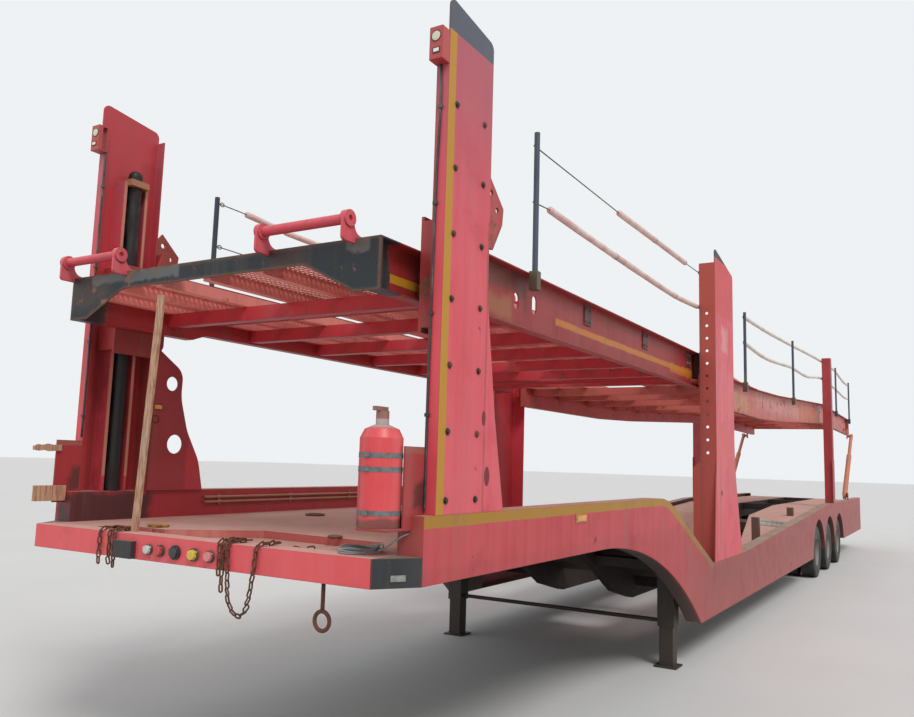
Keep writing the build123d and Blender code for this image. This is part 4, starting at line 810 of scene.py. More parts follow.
def add_tube(shape: Shape, points: Sequence[Vector], radius: Union[float, Sequence[float]], segments: int = 10,
             closed: bool = False, material: int = 0) -> None:
    """Add a tube along points.

    Args:
        shape: The bmesh.
        points: Its centre line.
        radius: Its radius, or one for each point.
        segments: Faces round it.
        closed: Whether it joins its own start.
        material: Material slot of its faces.
    """
    count = len(points)
    radii = [radius] * count if isinstance(radius, float) else radius
    rings = []
    side = None
    for k, point in enumerate(points):
        after = points[(k + 1) % count] if closed or k + 1 < count else point
        before = points[k - 1] if closed or k else point
        along = (after - before).normalized()
        if side is None:
            side = along.orthogonal().normalized()
        side = (side - along * side.dot(along)).normalized()
        ring = circle(point, radii[k] * side, radii[k] * along.cross(side), segments)
        rings.append([shape.verts.new(place) for place in ring])
    pairs = list(zip(rings, rings[1:])) + ([(rings[-1], rings[0])] if closed else [])
    for one, two in pairs:
        for k in range(segments):
            corners = [one[k], one[(k + 1) % segments], two[(k + 1) % segments], two[k]]
            shape.faces.new(corners).material_index = material
    if not closed:
        for ring in (rings[0], rings[-1]):
            shape.faces.new(ring).material_index = material


def smooth_line(points: Sequence[Vector], step: float) -> list[Vector]:
    """Smooth curve through points.

    Args:
        points: Places on the line.
        step: Rough distance between the results.

    Returns:
        Points on the curve.
    """
    padded = [2 * points[0] - points[1], *points, 2 * points[-1] - points[-2]]
    line = []
    for a, b, c, d in zip(padded, padded[1:], padded[2:], padded[3:]):
        count = max(1, round((c - b).length / step))
        for k in range(count):
            t = k / count
            line.append(0.5 * (2 * b + (c - a) * t + (2 * a - 5 * b + 4 * c - d) * t ** 2
                               + (3 * b - a - 3 * c + d) * t ** 3))
    line.append(points[-1].copy())
    return line


class Input(Enum):
    """Kinds of input that a repeat tree takes."""

    OBJECT = "NodeSocketObject"
    MATERIAL = "NodeSocketMaterial"
    SIZE = "NodeSocketFloat"
    COUNT = "NodeSocketInt"


class RepeatTree(Nodes):
    """Geometry Nodes tree that copies a stencil object, either on points or along a curve."""

    def __init__(self, name: str, along_curve: bool) -> None:
        """Build the tree.

        Args:
            name: Name of the tree.
            along_curve: Whether the stencil follows a curve; otherwise it sits on the points of a mesh.
        """
        super().__init__(bpy.data.node_groups.new(name, "GeometryNodeTree"))
        face = self.tree.interface
        for way in ("INPUT", "OUTPUT"):
            face.new_socket("Geometry", in_out=way, socket_type="NodeSocketGeometry")
        self.names = {}
        for label, kind in (("Stencil", Input.OBJECT), ("Finish", Input.MATERIAL), ("Pitch", Input.SIZE),
                            ("Jitter", Input.SIZE), ("Seed", Input.COUNT)):
            self.names[label] = face.new_socket(label, in_out="INPUT", socket_type=kind.value).identifier
        given = self.node("NodeGroupInput", output="Geometry")
        if along_curve:
            place = self.node("GeometryNodeCurveToPoints", {"mode": "LENGTH"},
                              {"Curve": given, "Length": given.other("Pitch")}, "Points")
            base = place.other("Rotation")
            quarter_turns = self.node("GeometryNodeInputIndex") * (math.pi / 2)
            spin = self.node("ShaderNodeCombineXYZ", inputs={"Z": quarter_turns})
        else:
            place = self.node("GeometryNodeMeshToPoints", inputs={"Mesh": given})
            turn = self.node("GeometryNodeInputNamedAttribute", {"data_type": "FLOAT_VECTOR"}, {"Name": "turn"})
            base = self.node("FunctionNodeEulerToRotation", inputs={0: turn})
            spin = self.node("ShaderNodeCombineXYZ")
        jitter = given.other("Jitter")
        shake = self.node("FunctionNodeRandomValue", {"data_type": "FLOAT_VECTOR"},
                          {0: jitter * -1.0, 1: jitter, "Seed": given.other("Seed")})
        both = self.node("ShaderNodeVectorMath", {"operation": "ADD"}, {0: spin, 1: shake})
        local = self.node("FunctionNodeEulerToRotation", inputs={0: both})
        rotation = self.node("FunctionNodeRotateRotation", {"rotation_space": "LOCAL"}, {0: base, 1: local})
        stencil = self.node("GeometryNodeObjectInfo", inputs={"Object": given.other("Stencil")}, output="Geometry")
        copies = self.node("GeometryNodeInstanceOnPoints",
                           inputs={"Points": place, "Instance": stencil, "Rotation": rotation})
        real = self.node("GeometryNodeRealizeInstances", inputs={0: copies})
        dressed = self.node("GeometryNodeSetMaterial", inputs={"Geometry": real, "Material": given.other("Finish")})
        self.close("NodeGroupOutput", dressed)

    def run(self, name: str, carrier: Thing, stencil: Thing, finish: Finish, pitch: float = 0.0, jitter: float = 0.0,
            seed: int = 1) -> Thing:
        """Repeat a stencil and keep the result as a plain mesh.

        Args:
            name: Name of the piece.
            carrier: Mesh or curve whose points take the copies; deleted afterwards.
            stencil: Object that is copied; deleted afterwards.
            finish: Material of the copies.
            pitch: Distance between copies on a curve.
            jitter: Largest random turn in radians.
            seed: Seed of the random turns.

        Returns:
            The piece, at the origin.
        """
        modifier = carrier.modifiers.new("repeat", "NODES")
        modifier.node_group = self.tree
        for label, value in (("Stencil", stencil), ("Finish", finish), ("Pitch", pitch), ("Jitter", jitter),
                             ("Seed", seed)):
            modifier[self.names[label]] = value
        mesh = evaluated(carrier)
        mesh.name = name
        for old in (carrier, stencil):
            bpy.data.objects.remove(old)
        mesh.materials.clear()
        for polygon in mesh.polygons:
            polygon.material_index = 0
        return mesh_object(name, mesh, finish)


@dataclass
class Workshop:
    """What every sub-assembly needs: the frame and the repeat trees."""

    frame: dict
    on_points: RepeatTree = field(default_factory=lambda: RepeatTree("copies_on_points", False))
    on_curve: RepeatTree = field(default_factory=lambda: RepeatTree("links_on_curve", True))

    def paint(self, material: Finish, *nodes: str) -> None:
        """Give CAD nodes a material.

        Args:
            material: The finish.
            nodes: Names of the nodes.
        """
        for node in nodes:
            made = self.frame["nodes"][node]
            if not made.material_slots:
                made.data.materials.append(material)
            for holder in made.material_slots:
                holder.material = material

    def points(self, places: Sequence[Sequence[float]], turns: Optional[Iterable[Point]] = None) -> Thing:
        """Loose points that carry copies.

        Args:
            places: Their places.
            turns: Euler turn of each copy in radians; none leaves the copies unturned.

        Returns:
            The carrier object.
        """
        mesh = bpy.data.meshes.new("carrier")
        mesh.from_pydata([tuple(p) for p in places], [], [])
        attribute = mesh.attributes.new("turn", "FLOAT_VECTOR", "POINT")
        for item, value in zip(attribute.data, turns or ()):
            item.vector = value
        return mesh_object("carrier", mesh)

    def add(self, piece: Thing, body: str, slot: str, *replaced: str) -> None:
        """Hand a finished piece to the frame.

        Args:
            piece: The piece.
            body: CAD body that it rides on.
            slot: Material slot of the record; not used.
            replaced: CAD nodes that it stands for.
        """
        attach(piece, body)
        if replaced:
            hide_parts(*replaced)
        LOG.info("%s on %s: %d faces", piece.name, body, len(piece.data.polygons))


@dataclass(frozen=True)
class Sun:
    """Soft lamp: its strength, its size in the sky in degrees and the direction that it shines from."""

    name: str
    energy: float
    angle: float
    direction: Point

    def hang(self) -> None:
        """Add the lamp."""
        data = bpy.data.lights.new(self.name, "SUN")
        data.energy = self.energy
        data.angle = math.radians(self.angle)
        made = link_object(self.name, data)
        made.rotation_mode = "QUATERNION"
        made.rotation_quaternion = Vector(self.direction).to_track_quat("Z", "Y")


@dataclass
class Studio:
    """Camera, lamps, floor and background."""

    eye: Point = (11.796, 3.151, 1.643)
    yaw: float = 0.544
    pitch: float = 0.124
    roll: float = 0.029
    focal: float = 825.43
    frame_width: int = 914
    sensor: float = 36.0
    clip: Pair = (0.05, 1000)
    suns: tuple[Sun, ...] = (Sun("key", 1.75, 22, (0.45, 0.62, 0.85)), Sun("fill", 0.35, 60, (0.8, -0.7, 0.5)))
    sky: Colour = (0.93, 0.96, 1.0)
    sky_strength: float = 0.62
    backdrop: Colour = (0.86, 0.885, 0.90)
    floor_half: float = 150.0
    floor_colours: tuple[Colour, Colour] = ((0.60, 0.59, 0.57), (0.66, 0.65, 0.63))

    def camera(self) -> None:
        """Set the camera where the photograph was taken from."""
        along = Vector((-math.cos(self.yaw) * math.cos(self.pitch), -math.sin(self.yaw) * math.cos(self.pitch),
                        math.sin(self.pitch)))
        right = along.cross(Vector((0, 0, 1))).normalized()
        up = right.cross(along)
        side = math.cos(self.roll) * right + math.sin(self.roll) * up
        top = math.cos(self.roll) * up - math.sin(self.roll) * right
        data = bpy.data.cameras.new("camera")
        data.sensor_fit = "HORIZONTAL"
        data.sensor_width = self.sensor
        data.lens = self.focal * self.sensor / self.frame_width
        data.clip_start, data.clip_end = self.clip
        made = link_object("camera", data)
        matrix = Matrix((side, top, -along)).transposed().to_4x4()
        matrix.translation = Vector(self.eye)
        made.matrix_world = matrix
        bpy.context.scene.camera = made

    def world(self) -> None:
        """Pale background, seen brighter than it lights."""
        world = bpy.data.worlds.new("studio")
        world.use_nodes = True
        nodes = Nodes(world.node_tree)
        camera_ray = nodes.node("ShaderNodeLightPath", output="Is Camera Ray")
        light, view = (nodes.node("ShaderNodeBackground", inputs={"Color": colour, "Strength": strength})
                       for colour, strength in ((self.sky, self.sky_strength), (self.backdrop, 1.0)))
        seen = camera_ray | camera_ray.other("Is Glossy Ray")
        nodes.close("ShaderNodeOutputWorld", nodes.node("ShaderNodeMixShader", inputs={0: seen, 1: light, 2: view}))
        bpy.context.scene.world = world

    def floor(self) -> None:
        """Plain pale floor."""
        shape = bmesh.new()
        corners = [(-1, -1), (1, -1), (1, 1), (-1, 1)]
        shape.faces.new([shape.verts.new((a * self.floor_half, b * self.floor_half, 0)) for a, b in corners])
        recipe = Recipe("pale_floor")
        colour = recipe.mix(recipe.noise(0.7, 5.0), *self.floor_colours)
        from_bmesh("floor", shape, recipe.finish(colour, 0.9))

    def build(self) -> None:
        """Set everything up."""
        bpy.context.scene.view_settings.view_transform = "Standard"
        self.camera()
        self.world()
        self.floor()
        for sun in self.suns:
            sun.hang()


@dataclass
class Finishes:
    """All materials of the trailer."""

    ochre: Colour = (0.49, 0.235, 0.014)
    frame_ochre: Colour = (0.385, 0.185, 0.010)
    tip: Colour = (0.085, 0.090, 0.118)
    worn_edge: Colour = (0.50, 0.22, 0.15)
    black: Colour = (0.018, 0.016, 0.016)
    # dark red painted shade in holes
    hole_shade: Colour = (0.16, 0.010, 0.014)
    bracket_dark: Colour = (0.055, 0.018, 0.015)
    beam_ys: Pair = (900, 1012)
    brackets: tuple[float, ...] = (2562, 3797, 5064)

    def column_patches(self) -> tuple[Union[Patch, Disc], ...]:
        """Ochre edge, dark tip, painted shade inside the columns and in their recesses, worn lips and holes painted
        dark as shade, of the front columns.

        Returns:
            The patches, lowest first.
        """
        return (
            Patch(self.ochre, stations=(308, 368), ys=(1200, 1260), zs=(1405, 3640)),
            Patch(self.tip, ys=(1200, 1260), zs=(3608, 3900), stations=(300, 730)),
            # Painted shade: near black on the web between the lips, where the inside of the columns lies in shade.
            Patch((0.09, 0.010, 0.010), stations=(446, 574), ys=(-1243, 1243), zs=(1405, 3262), soft=0.006,
                  strength=0.95),
            # Painted shade: the next four patches darken the recesses of the right column and the wall behind it.
            Patch((0.13, 0.022, 0.016), stations=(600, 1000), ys=(-1113, -1097), zs=(1405, 2600), soft=0.02,
                  ragged=0.1, strength=0.75),
            Patch((0.09, 0.014, 0.013), stations=(374, 426), ys=(-1246, -1150), zs=(1405, 2600), soft=0.015,
                  ragged=0.03, strength=0.8),
            Patch((0.10, 0.018, 0.015), stations=(594, 640), ys=(-1246, -1150), zs=(1405, 2900), soft=0.012,
                  ragged=0.03, strength=0.7),
            Patch((0.26, 0.02, 0.022), stations=(600, 709), ys=(-1243, -1100), zs=(1405, 3480), soft=0.02,
                  strength=0.6),
            *(Patch(self.worn_edge, stations=(s - 13, s + 13), ys=(-1151, -1140), zs=(1500, 3300), ragged=0.012,
                    strength=0.8) for s in (434, 586)),
            Patch((0.33, 0.17, 0.08), stations=(440, 580), ys=(-1243, 1243), zs=(3262, 3312), soft=0.004, ragged=0.01,
                  strength=0.85),
            Patch((0.14, 0.05, 0.03), stations=(704, 722), ys=(-1252, 1252), zs=(1405, 2800), soft=0.004, ragged=0.03,
                  strength=0.5),
            Patch((0.10, 0.045, 0.03), stations=(300, 312), ys=(-1190, 1190), zs=(1405, 3540), soft=0.004,
                  ragged=0.012, strength=0.6),
            # Painted shade: dark discs for the shade in the holes of the outer webs.
            Disc(self.hole_shade, 748, 1577, 46, (1245, 1255), 0.55),
            Disc(self.hole_shade, 705, 1848, 36, (1245, 1255), 0.50),
        )

    def frame_patches(self) -> tuple[Union[Patch, EdgeStripe], ...]:
        """Stripe, painted shade on the inner lower half and on the right inner wall at the front, a darker lower rear
        and stained ends of the side frames.

        Returns:
            The patches, lowest first.
        """
        return (
            EdgeStripe(self.frame_ochre),
            # Painted shade: near black on the faces inside the outer webs below the floor, which lie in shade under the
            # neck.
            Patch(self.black, ys=(-1238, 1238), zs=(300, 1190), soft=0.02, strength=0.96),
            # Painted shade: near black on the right frame's inner wall at the foot of the column, a shaded recess.
            Patch(self.black, stations=(200, 760), ys=(-1240, -1100), zs=(1190, 1408), soft=0.03, ragged=0.08,
                  strength=0.9),
            Patch((0.130, 0.046, 0.034), stations=(4500, 18300), ys=(-1260, 1260), zs=(200, 1200), soft=0.6,
                  ragged=0.5, strength=0.95),
            Patch((0.28, 0.070, 0.055), stations=(200, 236), ys=(1100, 1245), zs=(1000, 1408), soft=0.004, ragged=0.02,
                  strength=0.65),
            Patch((0.10, 0.035, 0.025), stations=(4990, 5060), ys=(1240, 1260), zs=(640, 760), soft=0.02, ragged=0.08,
                  strength=0.7),
        )

    def deck_patches(self) -> tuple[Patch, ...]:
        """Ochre remains, stains and dark brackets of the front deck's beams.

        Returns:
            The patches, lowest first.
        """
        return (
            Patch((0.50, 0.16, 0.014), stations=(2040, 5290), zs=(2518, 2562), ys=self.beam_ys, ragged=0.016,
                  soft=0.006),
            Patch((0.52, 0.17, 0.012), stations=(4500, 5290), zs=(2490, 2572), ys=self.beam_ys, ragged=0.05,
                  soft=0.008, strength=0.85),
            Patch(self.ochre, stations=(100, 900), zs=(2428, 2468), ys=self.beam_ys, ragged=0.01),
            Patch((0.34, 0.16, 0.05), stations=(1120, 1440), zs=(2455, 2570), ys=self.beam_ys, soft=0.03, ragged=0.12,
                  strength=0.85),
            Patch((0.10, 0.035, 0.025), stations=(1050, 1620), zs=(2610, 2738), ys=(900, 1030), soft=0.02, ragged=0.10,
                  strength=0.7),
            Patch((0.05, 0.02, 0.016), stations=(5225, 5300), zs=(2400, 2740), ys=(900, 1075), soft=0.02, ragged=0.03,
                  strength=0.85),
            Patch((0.026, 0.030, 0.036), stations=(80, 250), soft=0.01, ragged=0.25),
            *(Patch(self.bracket_dark, stations=(s - 62, s + 62), ys=(-1020, 1020), zs=(2592, 2736), soft=0.006,
                    ragged=0.012, strength=0.92) for s in self.brackets),
        )

    def paints(self) -> list[OldPaint]:
        """Old paints, each with its patches.

        Returns:
            The paints.
        """
        return [
            OldPaint("column_red", bleached=(0.42, 0.095, 0.125), bleach=0.9, edge_wear=0.45, grime_share=0.2,
                     painted_shading=(0.44, 0.030, 0.036), patches=self.column_patches()),
            OldPaint("frame_red", (0.47, 0.028, 0.037), (0.56, 0.088, 0.100), dust_share=0.15,
                     patches=self.frame_patches(), top_dust_and_light=0.8, grime_share=0.6, grime=(0.22, 0.11, 0.08)),
            OldPaint("mid_column_red", patches=(
                Patch((0.60, 0.045, 0.050), zs=(3120, 3800), soft=0.02, ragged=0.05, strength=0.85),
                Patch((0.66, 0.27, 0.26), ys=(1200, 1260), zs=(1400, 2650), soft=0.25, ragged=0.12, strength=0.5),
                Patch((0.70, 0.38, 0.36), stations=(5380, 5640), ys=(1200, 1260), zs=(2760, 3020), soft=0.02,
                      ragged=0.22, strength=0.6),
                Patch((0.34, 0.070, 0.042), stations=(5130, 5153), ys=(900, 1260), soft=0.003, strength=0.75),
                Patch((0.30, 0.07, 0.05), stations=(5130, 5153), ys=(1095, 1130), zs=(900, 3200), soft=0.006,
                      ragged=0.03, strength=0.6),
                Patch(self.black, zs=(3655, 3800), soft=0.004),
            )),
            OldPaint("rear_red", (0.36, 0.028, 0.035), (0.42, 0.08, 0.085), rust_share=0.6, dust_share=0.4),
            # Painted shade: the beams' red is darkened to the shade that their outer webs lie in.
            OldPaint("deck_red", (0.27, 0.015, 0.013), (0.32, 0.040, 0.036), fade_and_light=0.6, grime_share=0.6,
                     patches=self.deck_patches()),
            OldPaint("member_red", (0.50, 0.028, 0.040), (0.56, 0.09, 0.10), fade_and_light=0.4, painted_shading=(0.44, 0.028, 0.036),
                     rust_share=0.5, top_dust_and_light=0.7),
            OldPaint("aft_deck_red", (0.48, 0.085, 0.060), (0.58, 0.20, 0.16), rust_share=0.8, grime_share=0.6,
                     patches=(
                Patch((0.52, 0.26, 0.09), stations=(6900, 7700), zs=(2330, 2520), ys=self.beam_ys, soft=0.02,
                      ragged=0.12, strength=0.8),
                Patch((0.50, 0.17, 0.05), stations=(11600, 13900), zs=(2500, 2700), ys=self.beam_ys, soft=0.03,
                      ragged=0.2, strength=0.7),
                Patch((0.62, 0.32, 0.27), stations=(8200, 11500), zs=(2450, 2650), ys=self.beam_ys, soft=0.05,
                      ragged=0.35, strength=0.7),
            )),
            # Painted shade: near black for the rails, cross members and leg beams, which lie in shade under the neck.
            OldPaint("underside_painted_shade", (0.020, 0.013, 0.012), (0.035, 0.022, 0.020), painted_shading=(0.012, 0.009, 0.008),
                     rust=(0.035, 0.016, 0.010), dust=(0.16, 0.11, 0.08), grime_share=0.2, rust_share=0.5,
                     dust_share=0.15, chips=0.05, roughness=0.6),
            OldPaint("holder_red", (0.34, 0.030, 0.032), (0.42, 0.075, 0.075), rust_share=0.5, patches=(
                Patch((0.06, 0.022, 0.018), stations=(225, 310), ys=(-1260, 1260), zs=(1430, 1560), soft=0.02,
                      ragged=0.12, strength=0.8),
                Patch((0.30, 0.15, 0.10), stations=(140, 310), zs=(1672, 1704), soft=0.006, ragged=0.03, strength=0.5),
            )),
            # near-black painted shade on the floor's faces turned in, down or back
            OldPaint("floor_red", (0.46, 0.085, 0.075), (0.60, 0.26, 0.21), fade_and_light=0.8, painted_shading=(0.016, 0.012, 0.011),
                     painted_shading_share=1.0, rust_share=0.6, dust=(0.52, 0.36, 0.29), top_dust_and_light=0.85, chips=0.3, roughness=0.55),
            # Painted light: faces turned in, down or back are paler pink, as if lit through the perforated floor.
            OldPaint("track_red", (0.62, 0.17, 0.14), (0.66, 0.24, 0.20), fade_and_light=0.8, painted_shading=(0.90, 0.30, 0.26),
                     painted_shading_share=0.9, rust_share=0.4, dust=(0.55, 0.33, 0.27), top_dust_and_light=0.6, edge_wear=0.1, chips=0.2,
                     roughness=0.55),
            # pale top of the beam: dust, partly painted light from above
            OldPaint("beam_red", (0.68, 0.075, 0.085), (0.74, 0.20, 0.20), fade_and_light=0.75, chips=0.35, top_dust_and_light=0.9,
                     dust=(0.58, 0.40, 0.33), grime_share=0.12, edge_wear=0.35),
            OldPaint("nose_black", (0.006, 0.010, 0.014), (0.020, 0.029, 0.036), fade_and_light=0.9,
                     painted_shading=(0.20, 0.085, 0.060), painted_shading_share=0.9, rust=(0.12, 0.065, 0.040),
                     grime=(0.11, 0.075, 0.055), grime_share=0.35, rust_share=0.85, edge_wear=1.0, edge_reach=0.028,
                     chips=1.0, top_dust_and_light=0.5, roughness=0.5, patches=(
                Patch((0.10, 0.050, 0.036), ys=(-1100, -760), zs=(2440, 2640), soft=0.03, ragged=0.35, strength=0.35),
                # Painted highlight: grey band along the top of the nose.
                Patch((0.20, 0.21, 0.20), ys=(-900, -200), zs=(2545, 2600), soft=0.01, ragged=0.09, strength=0.45),
                Patch((0.10, 0.046, 0.034), ys=(420, 640), zs=(2440, 2640), soft=0.03, ragged=0.30, strength=0.35),
                Patch((0.16, 0.14, 0.12), ys=(880, 1010), zs=(2540, 2640), soft=0.01, ragged=0.10, strength=0.5),
            )),
            OldPaint("corner_black", (0.018, 0.019, 0.021), (0.045, 0.045, 0.050), rust_share=0.25,
                     painted_shading=(0.012, 0.012, 0.013), chips=0.7, top_dust_and_light=0.5, grime_share=0.2),
            OldPaint("post_grey", (0.035, 0.046, 0.080), (0.085, 0.105, 0.150), rust_share=0.3,
                     painted_shading=(0.020, 0.026, 0.045), top_dust_and_light=0.3, patches=(
                Patch((0.11, 0.075, 0.035), zs=(2500, 2758), soft=0.01, ragged=0.03, strength=0.85),
            )),
            OldPaint("stop_red", (0.62, 0.055, 0.085), (0.72, 0.17, 0.19), fade_and_light=0.8, chips=0.4, painted_shading_share=0.4),
            OldPaint("extinguisher_red", (0.66, 0.045, 0.055), (0.72, 0.15, 0.15), fade_and_light=0.9, rust_share=0.35,
                     painted_shading_share=0.3, patches=(
                Patch((0.13, 0.055, 0.04), zs=(1350, 1400), soft=0.01, ragged=0.05, strength=0.85),
                Patch((0.42, 0.40, 0.38), zs=(1776, 1812), soft=0.004, strength=0.9),
                Patch((0.20, 0.155, 0.12), zs=(1812, 1900), soft=0.004, strength=0.8),
            ), roughness=0.3),
            OldPaint("lamp_red", (0.44, 0.05, 0.05), (0.56, 0.14, 0.13), painted_shading_share=0.4, rust_share=0.7, edge_wear=0.9),
            OldPaint("leg_dark", (0.010, 0.008, 0.007), (0.020, 0.015, 0.012), rust_share=0.9,
                     painted_shading=(0.007, 0.006, 0.005), rust=(0.030, 0.014, 0.009), dust=(0.12, 0.085, 0.06),
                     grime=(0.03, 0.02, 0.015), dust_share=0.25, grime_share=0.3, chips=0.05),
            OldPaint("carriage_red", (0.40, 0.035, 0.035), (0.50, 0.095, 0.090), rust_share=0.95,
                     painted_shading=(0.22, 0.030, 0.022), rust=(0.14, 0.055, 0.030), edge_wear=0.9, grime_share=0.7),
            OldPaint("chassis_black", (0.022, 0.022, 0.022), (0.04, 0.04, 0.04), rust_share=0.6,
                     painted_shading=(0.014, 0.014, 0.014), dust=(0.24, 0.19, 0.15), dust_share=0.4),
            OldPaint("strut_ochre", (0.50, 0.12, 0.055), (0.62, 0.22, 0.12), rust_share=0.5, painted_shading_share=0.4),
            OldPaint("stand_dark", (0.10, 0.055, 0.04), (0.20, 0.12, 0.09), rust_share=0.8,
                     painted_shading=(0.05, 0.03, 0.022), dust_share=0.3, patches=(
                Patch((0.62, 0.60, 0.54), stations=(8640, 10675), ys=(880, 920), soft=0.01, ragged=0.03),
            )),
            OldPaint("rim_pale", (0.34, 0.33, 0.31), (0.46, 0.45, 0.42), rust_share=0.5, painted_shading=(0.12, 0.11, 0.10),
                     dust_share=0.5, dust=(0.30, 0.26, 0.22)),
            OldPaint("gear_rust", (0.13, 0.055, 0.032), (0.20, 0.095, 0.055), rust_share=0.9, top_dust_and_light=0.2,
                     painted_shading_share=0.3, patches=(
                Patch((0.46, 0.20, 0.015), stations=(310, 446), ys=(-640, -500)),
            )),
            OldPaint("pipe_tan", (0.36, 0.17, 0.09), (0.48, 0.28, 0.18), rust_share=0.4, painted_shading_share=0.2),
        ]

    def others(self) -> list[Union[RustedSteel, Rubber, Plain, Wood, Fibre]]:
        """Bare steel, rubber, plastics, wood and rope.

        Returns:
            The finishes.
        """
        return [
            RustedSteel("greasy_steel", grease_share=0.9, bright_share=0.5),
            RustedSteel("hub_steel", rust=(0.050, 0.030, 0.022), grease_share=0.8, bright_share=0.3),
            RustedSteel("chain_rust", rust=(0.12, 0.045, 0.022), grease_share=0.25, bright_share=0.35),
            RustedSteel("bare_steel", rust=(0.16, 0.12, 0.10), bright=(0.45, 0.44, 0.43), bright_share=0.9,
                        grease_share=0.3),
            RustedSteel("cylinder_black", rust=(0.018, 0.012, 0.011), grease=(0.007, 0.006, 0.006), bright_share=0.05,
                        grease_share=0.9),
            Rubber("tyre_rubber"),
            Rubber("black_rubber", dust_share=0.35),
            Plain("lens_cream", (0.62, 0.55, 0.40), (0.70, 0.64, 0.52), 0.2, 18),
            Plain("lens_red", (0.45, 0.02, 0.02), (0.55, 0.04, 0.03), 0.18, 30),
            Plain("lens_amber", (0.75, 0.28, 0.03), (0.80, 0.36, 0.06), 0.2, 30),
            Plain("lamp_black", (0.02, 0.02, 0.02), (0.045, 0.045, 0.045), 0.45, 30),
            Plain("cap_yellow", (0.70, 0.50, 0.03), (0.62, 0.42, 0.03), 0.45, 40),
            Plain("cap_red", (0.50, 0.03, 0.03), (0.56, 0.08, 0.07), 0.45, 40),
            Plain("cap_pale", (0.46, 0.48, 0.46), (0.60, 0.61, 0.58), 0.45, 30),
            Plain("cap_pink", (0.62, 0.16, 0.17), (0.70, 0.24, 0.24), 0.5, 40),
            Plain("band_grey", (0.10, 0.10, 0.105), (0.17, 0.17, 0.17), 0.6, 40),
            Plain("lens_white", (0.74, 0.73, 0.70), (0.80, 0.79, 0.76), 0.25, 30),
            Plain("foam_pink", (0.68, 0.44, 0.40), (0.78, 0.62, 0.57), 0.85, 9, dust_share=0.15, bump=0.0005),
            Plain("foam_cream", (0.70, 0.63, 0.56), (0.78, 0.74, 0.68), 0.85, 9, dust_share=0.15, bump=0.0005),
            Plain("tape_grey", (0.50, 0.40, 0.35), (0.58, 0.48, 0.42), 0.7, 40),
            Plain("label_grey", (0.17, 0.19, 0.17), (0.30, 0.31, 0.28), 0.5, 40),
            Plain("marker_ochre", (0.42, 0.16, 0.03), (0.50, 0.22, 0.05), 0.5, 40),
            Wood("raw_wood"),
            Fibre("rope_grey"),
        ]

    def build(self) -> Skins:
        """Make every material and give them by name."""
        return {finish.name: finish.make() for finish in (*self.paints(), *self.others())}


@dataclass
class Rope:
    """Free rope: its run down from the frame and the hank on the beam."""

    radius: float = 0.0045
    route: tuple[Point, ...] = ((220, 1178, 1336), (192, 1178, 1336), (166, 1156, 1316), (150, 1118, 1282),
                                (158, 1074, 1264), (180, 1054, 1262))
    centre: Pair = (196, 945)
    turns: int = 6
    per_turn: int = 14
    start: float = math.radians(98)
    outer: Pair = (120, 97)
    inner: Pair = (86, 60)
    lap_shares: tuple[float, ...] = (0.15, 0.80, 0.40, 1.0, 0.25, 0.62)
    wander: float = 5
    seat: float = 1245
    pile: float = 26
    least_rise: float = 0.4
    strand_radius: float = 0.0024
    strand_reach: float = 0.0021
    lay_length: float = 0.034
    step: float = 0.0055

    def hank(self) -> list[Vector]:
        """Control points of the turns, loose and fanned out.

        Returns:
            The points in metres.
        """
        points = []
        for k in range(1, self.turns * self.per_turn):
            turn = k / self.per_turn
            angle = self.start - 2 * math.pi * turn
            lap = int(turn)
            share, following = (self.lap_shares[n % len(self.lap_shares)] for n in (lap, lap + 1))
            share += (following - share) * (turn - lap)
            a, b = (o + (i - o) * share for o, i in zip(self.outer, self.inner))
            a += self.wander * math.sin(2.3 * turn)
            b += self.wander * math.cos(1.7 * turn)
            rise = self.pile * (1 - turn / self.turns) * (0.75 + 0.25 * math.sin(3.1 * angle))
            height = self.seat + 1000 * self.radius + max(self.least_rise, rise)
            points.append(spot(self.centre[0] + a * math.cos(angle), self.centre[1] + b * math.sin(angle), height))
        return points

    def build(self, shop: Workshop, skins: Skins) -> None:
        """Lay the rope.

        Args:
            shop: The workshop.
            skins: Materials by name.
        """
        made = add_curve("rope", "NURBS", [[spot(*p) for p in self.route] + self.hank()], 6)
        spline = made.data.splines[0]
        spline.order_u = 3
        spline.use_endpoint_u = True
        mesh = evaluated(made)
        path = [v.co.copy() for v in mesh.vertices]
        bpy.data.objects.remove(made)
        bpy.data.meshes.remove(mesh)
        shape = bmesh.new()
        self.strands(shape, path)
        piece = from_bmesh("rope_hank", shape, skins["rope_grey"], smooth=True)
        shop.add(piece, "chassis", "rope_grey", "rope_line", "rope_coil")

    def strands(self, shape: Shape, path: list[Vector]) -> None:
        """Add three laid strands along the rope's line.

        Args:
            shape: The bmesh.
            path: Points of the line.
        """
        line = [path[0]]
        for point in path[1:]:
            if (point - line[-1]).length > self.step:
                line.append(point)
        travelled = 0.0
        side = (line[1] - line[0]).orthogonal().normalized()
        strands: list[list[Vector]] = [[], [], []]
        for k, point in enumerate(line):
            along = (line[min(k + 1, len(line) - 1)] - line[max(k - 1, 0)]).normalized()
            side = (side - along * side.dot(along)).normalized()
            up = along.cross(side)
            if k:
                travelled += (point - line[k - 1]).length
            for number, strand in enumerate(strands):
                a = 2 * math.pi * (number / len(strands) + travelled / self.lay_length)
                strand.append(point + self.strand_reach * (math.cos(a) * side + math.sin(a) * up))
        for strand in strands:
            add_tube(shape, strand, self.strand_radius, 5)


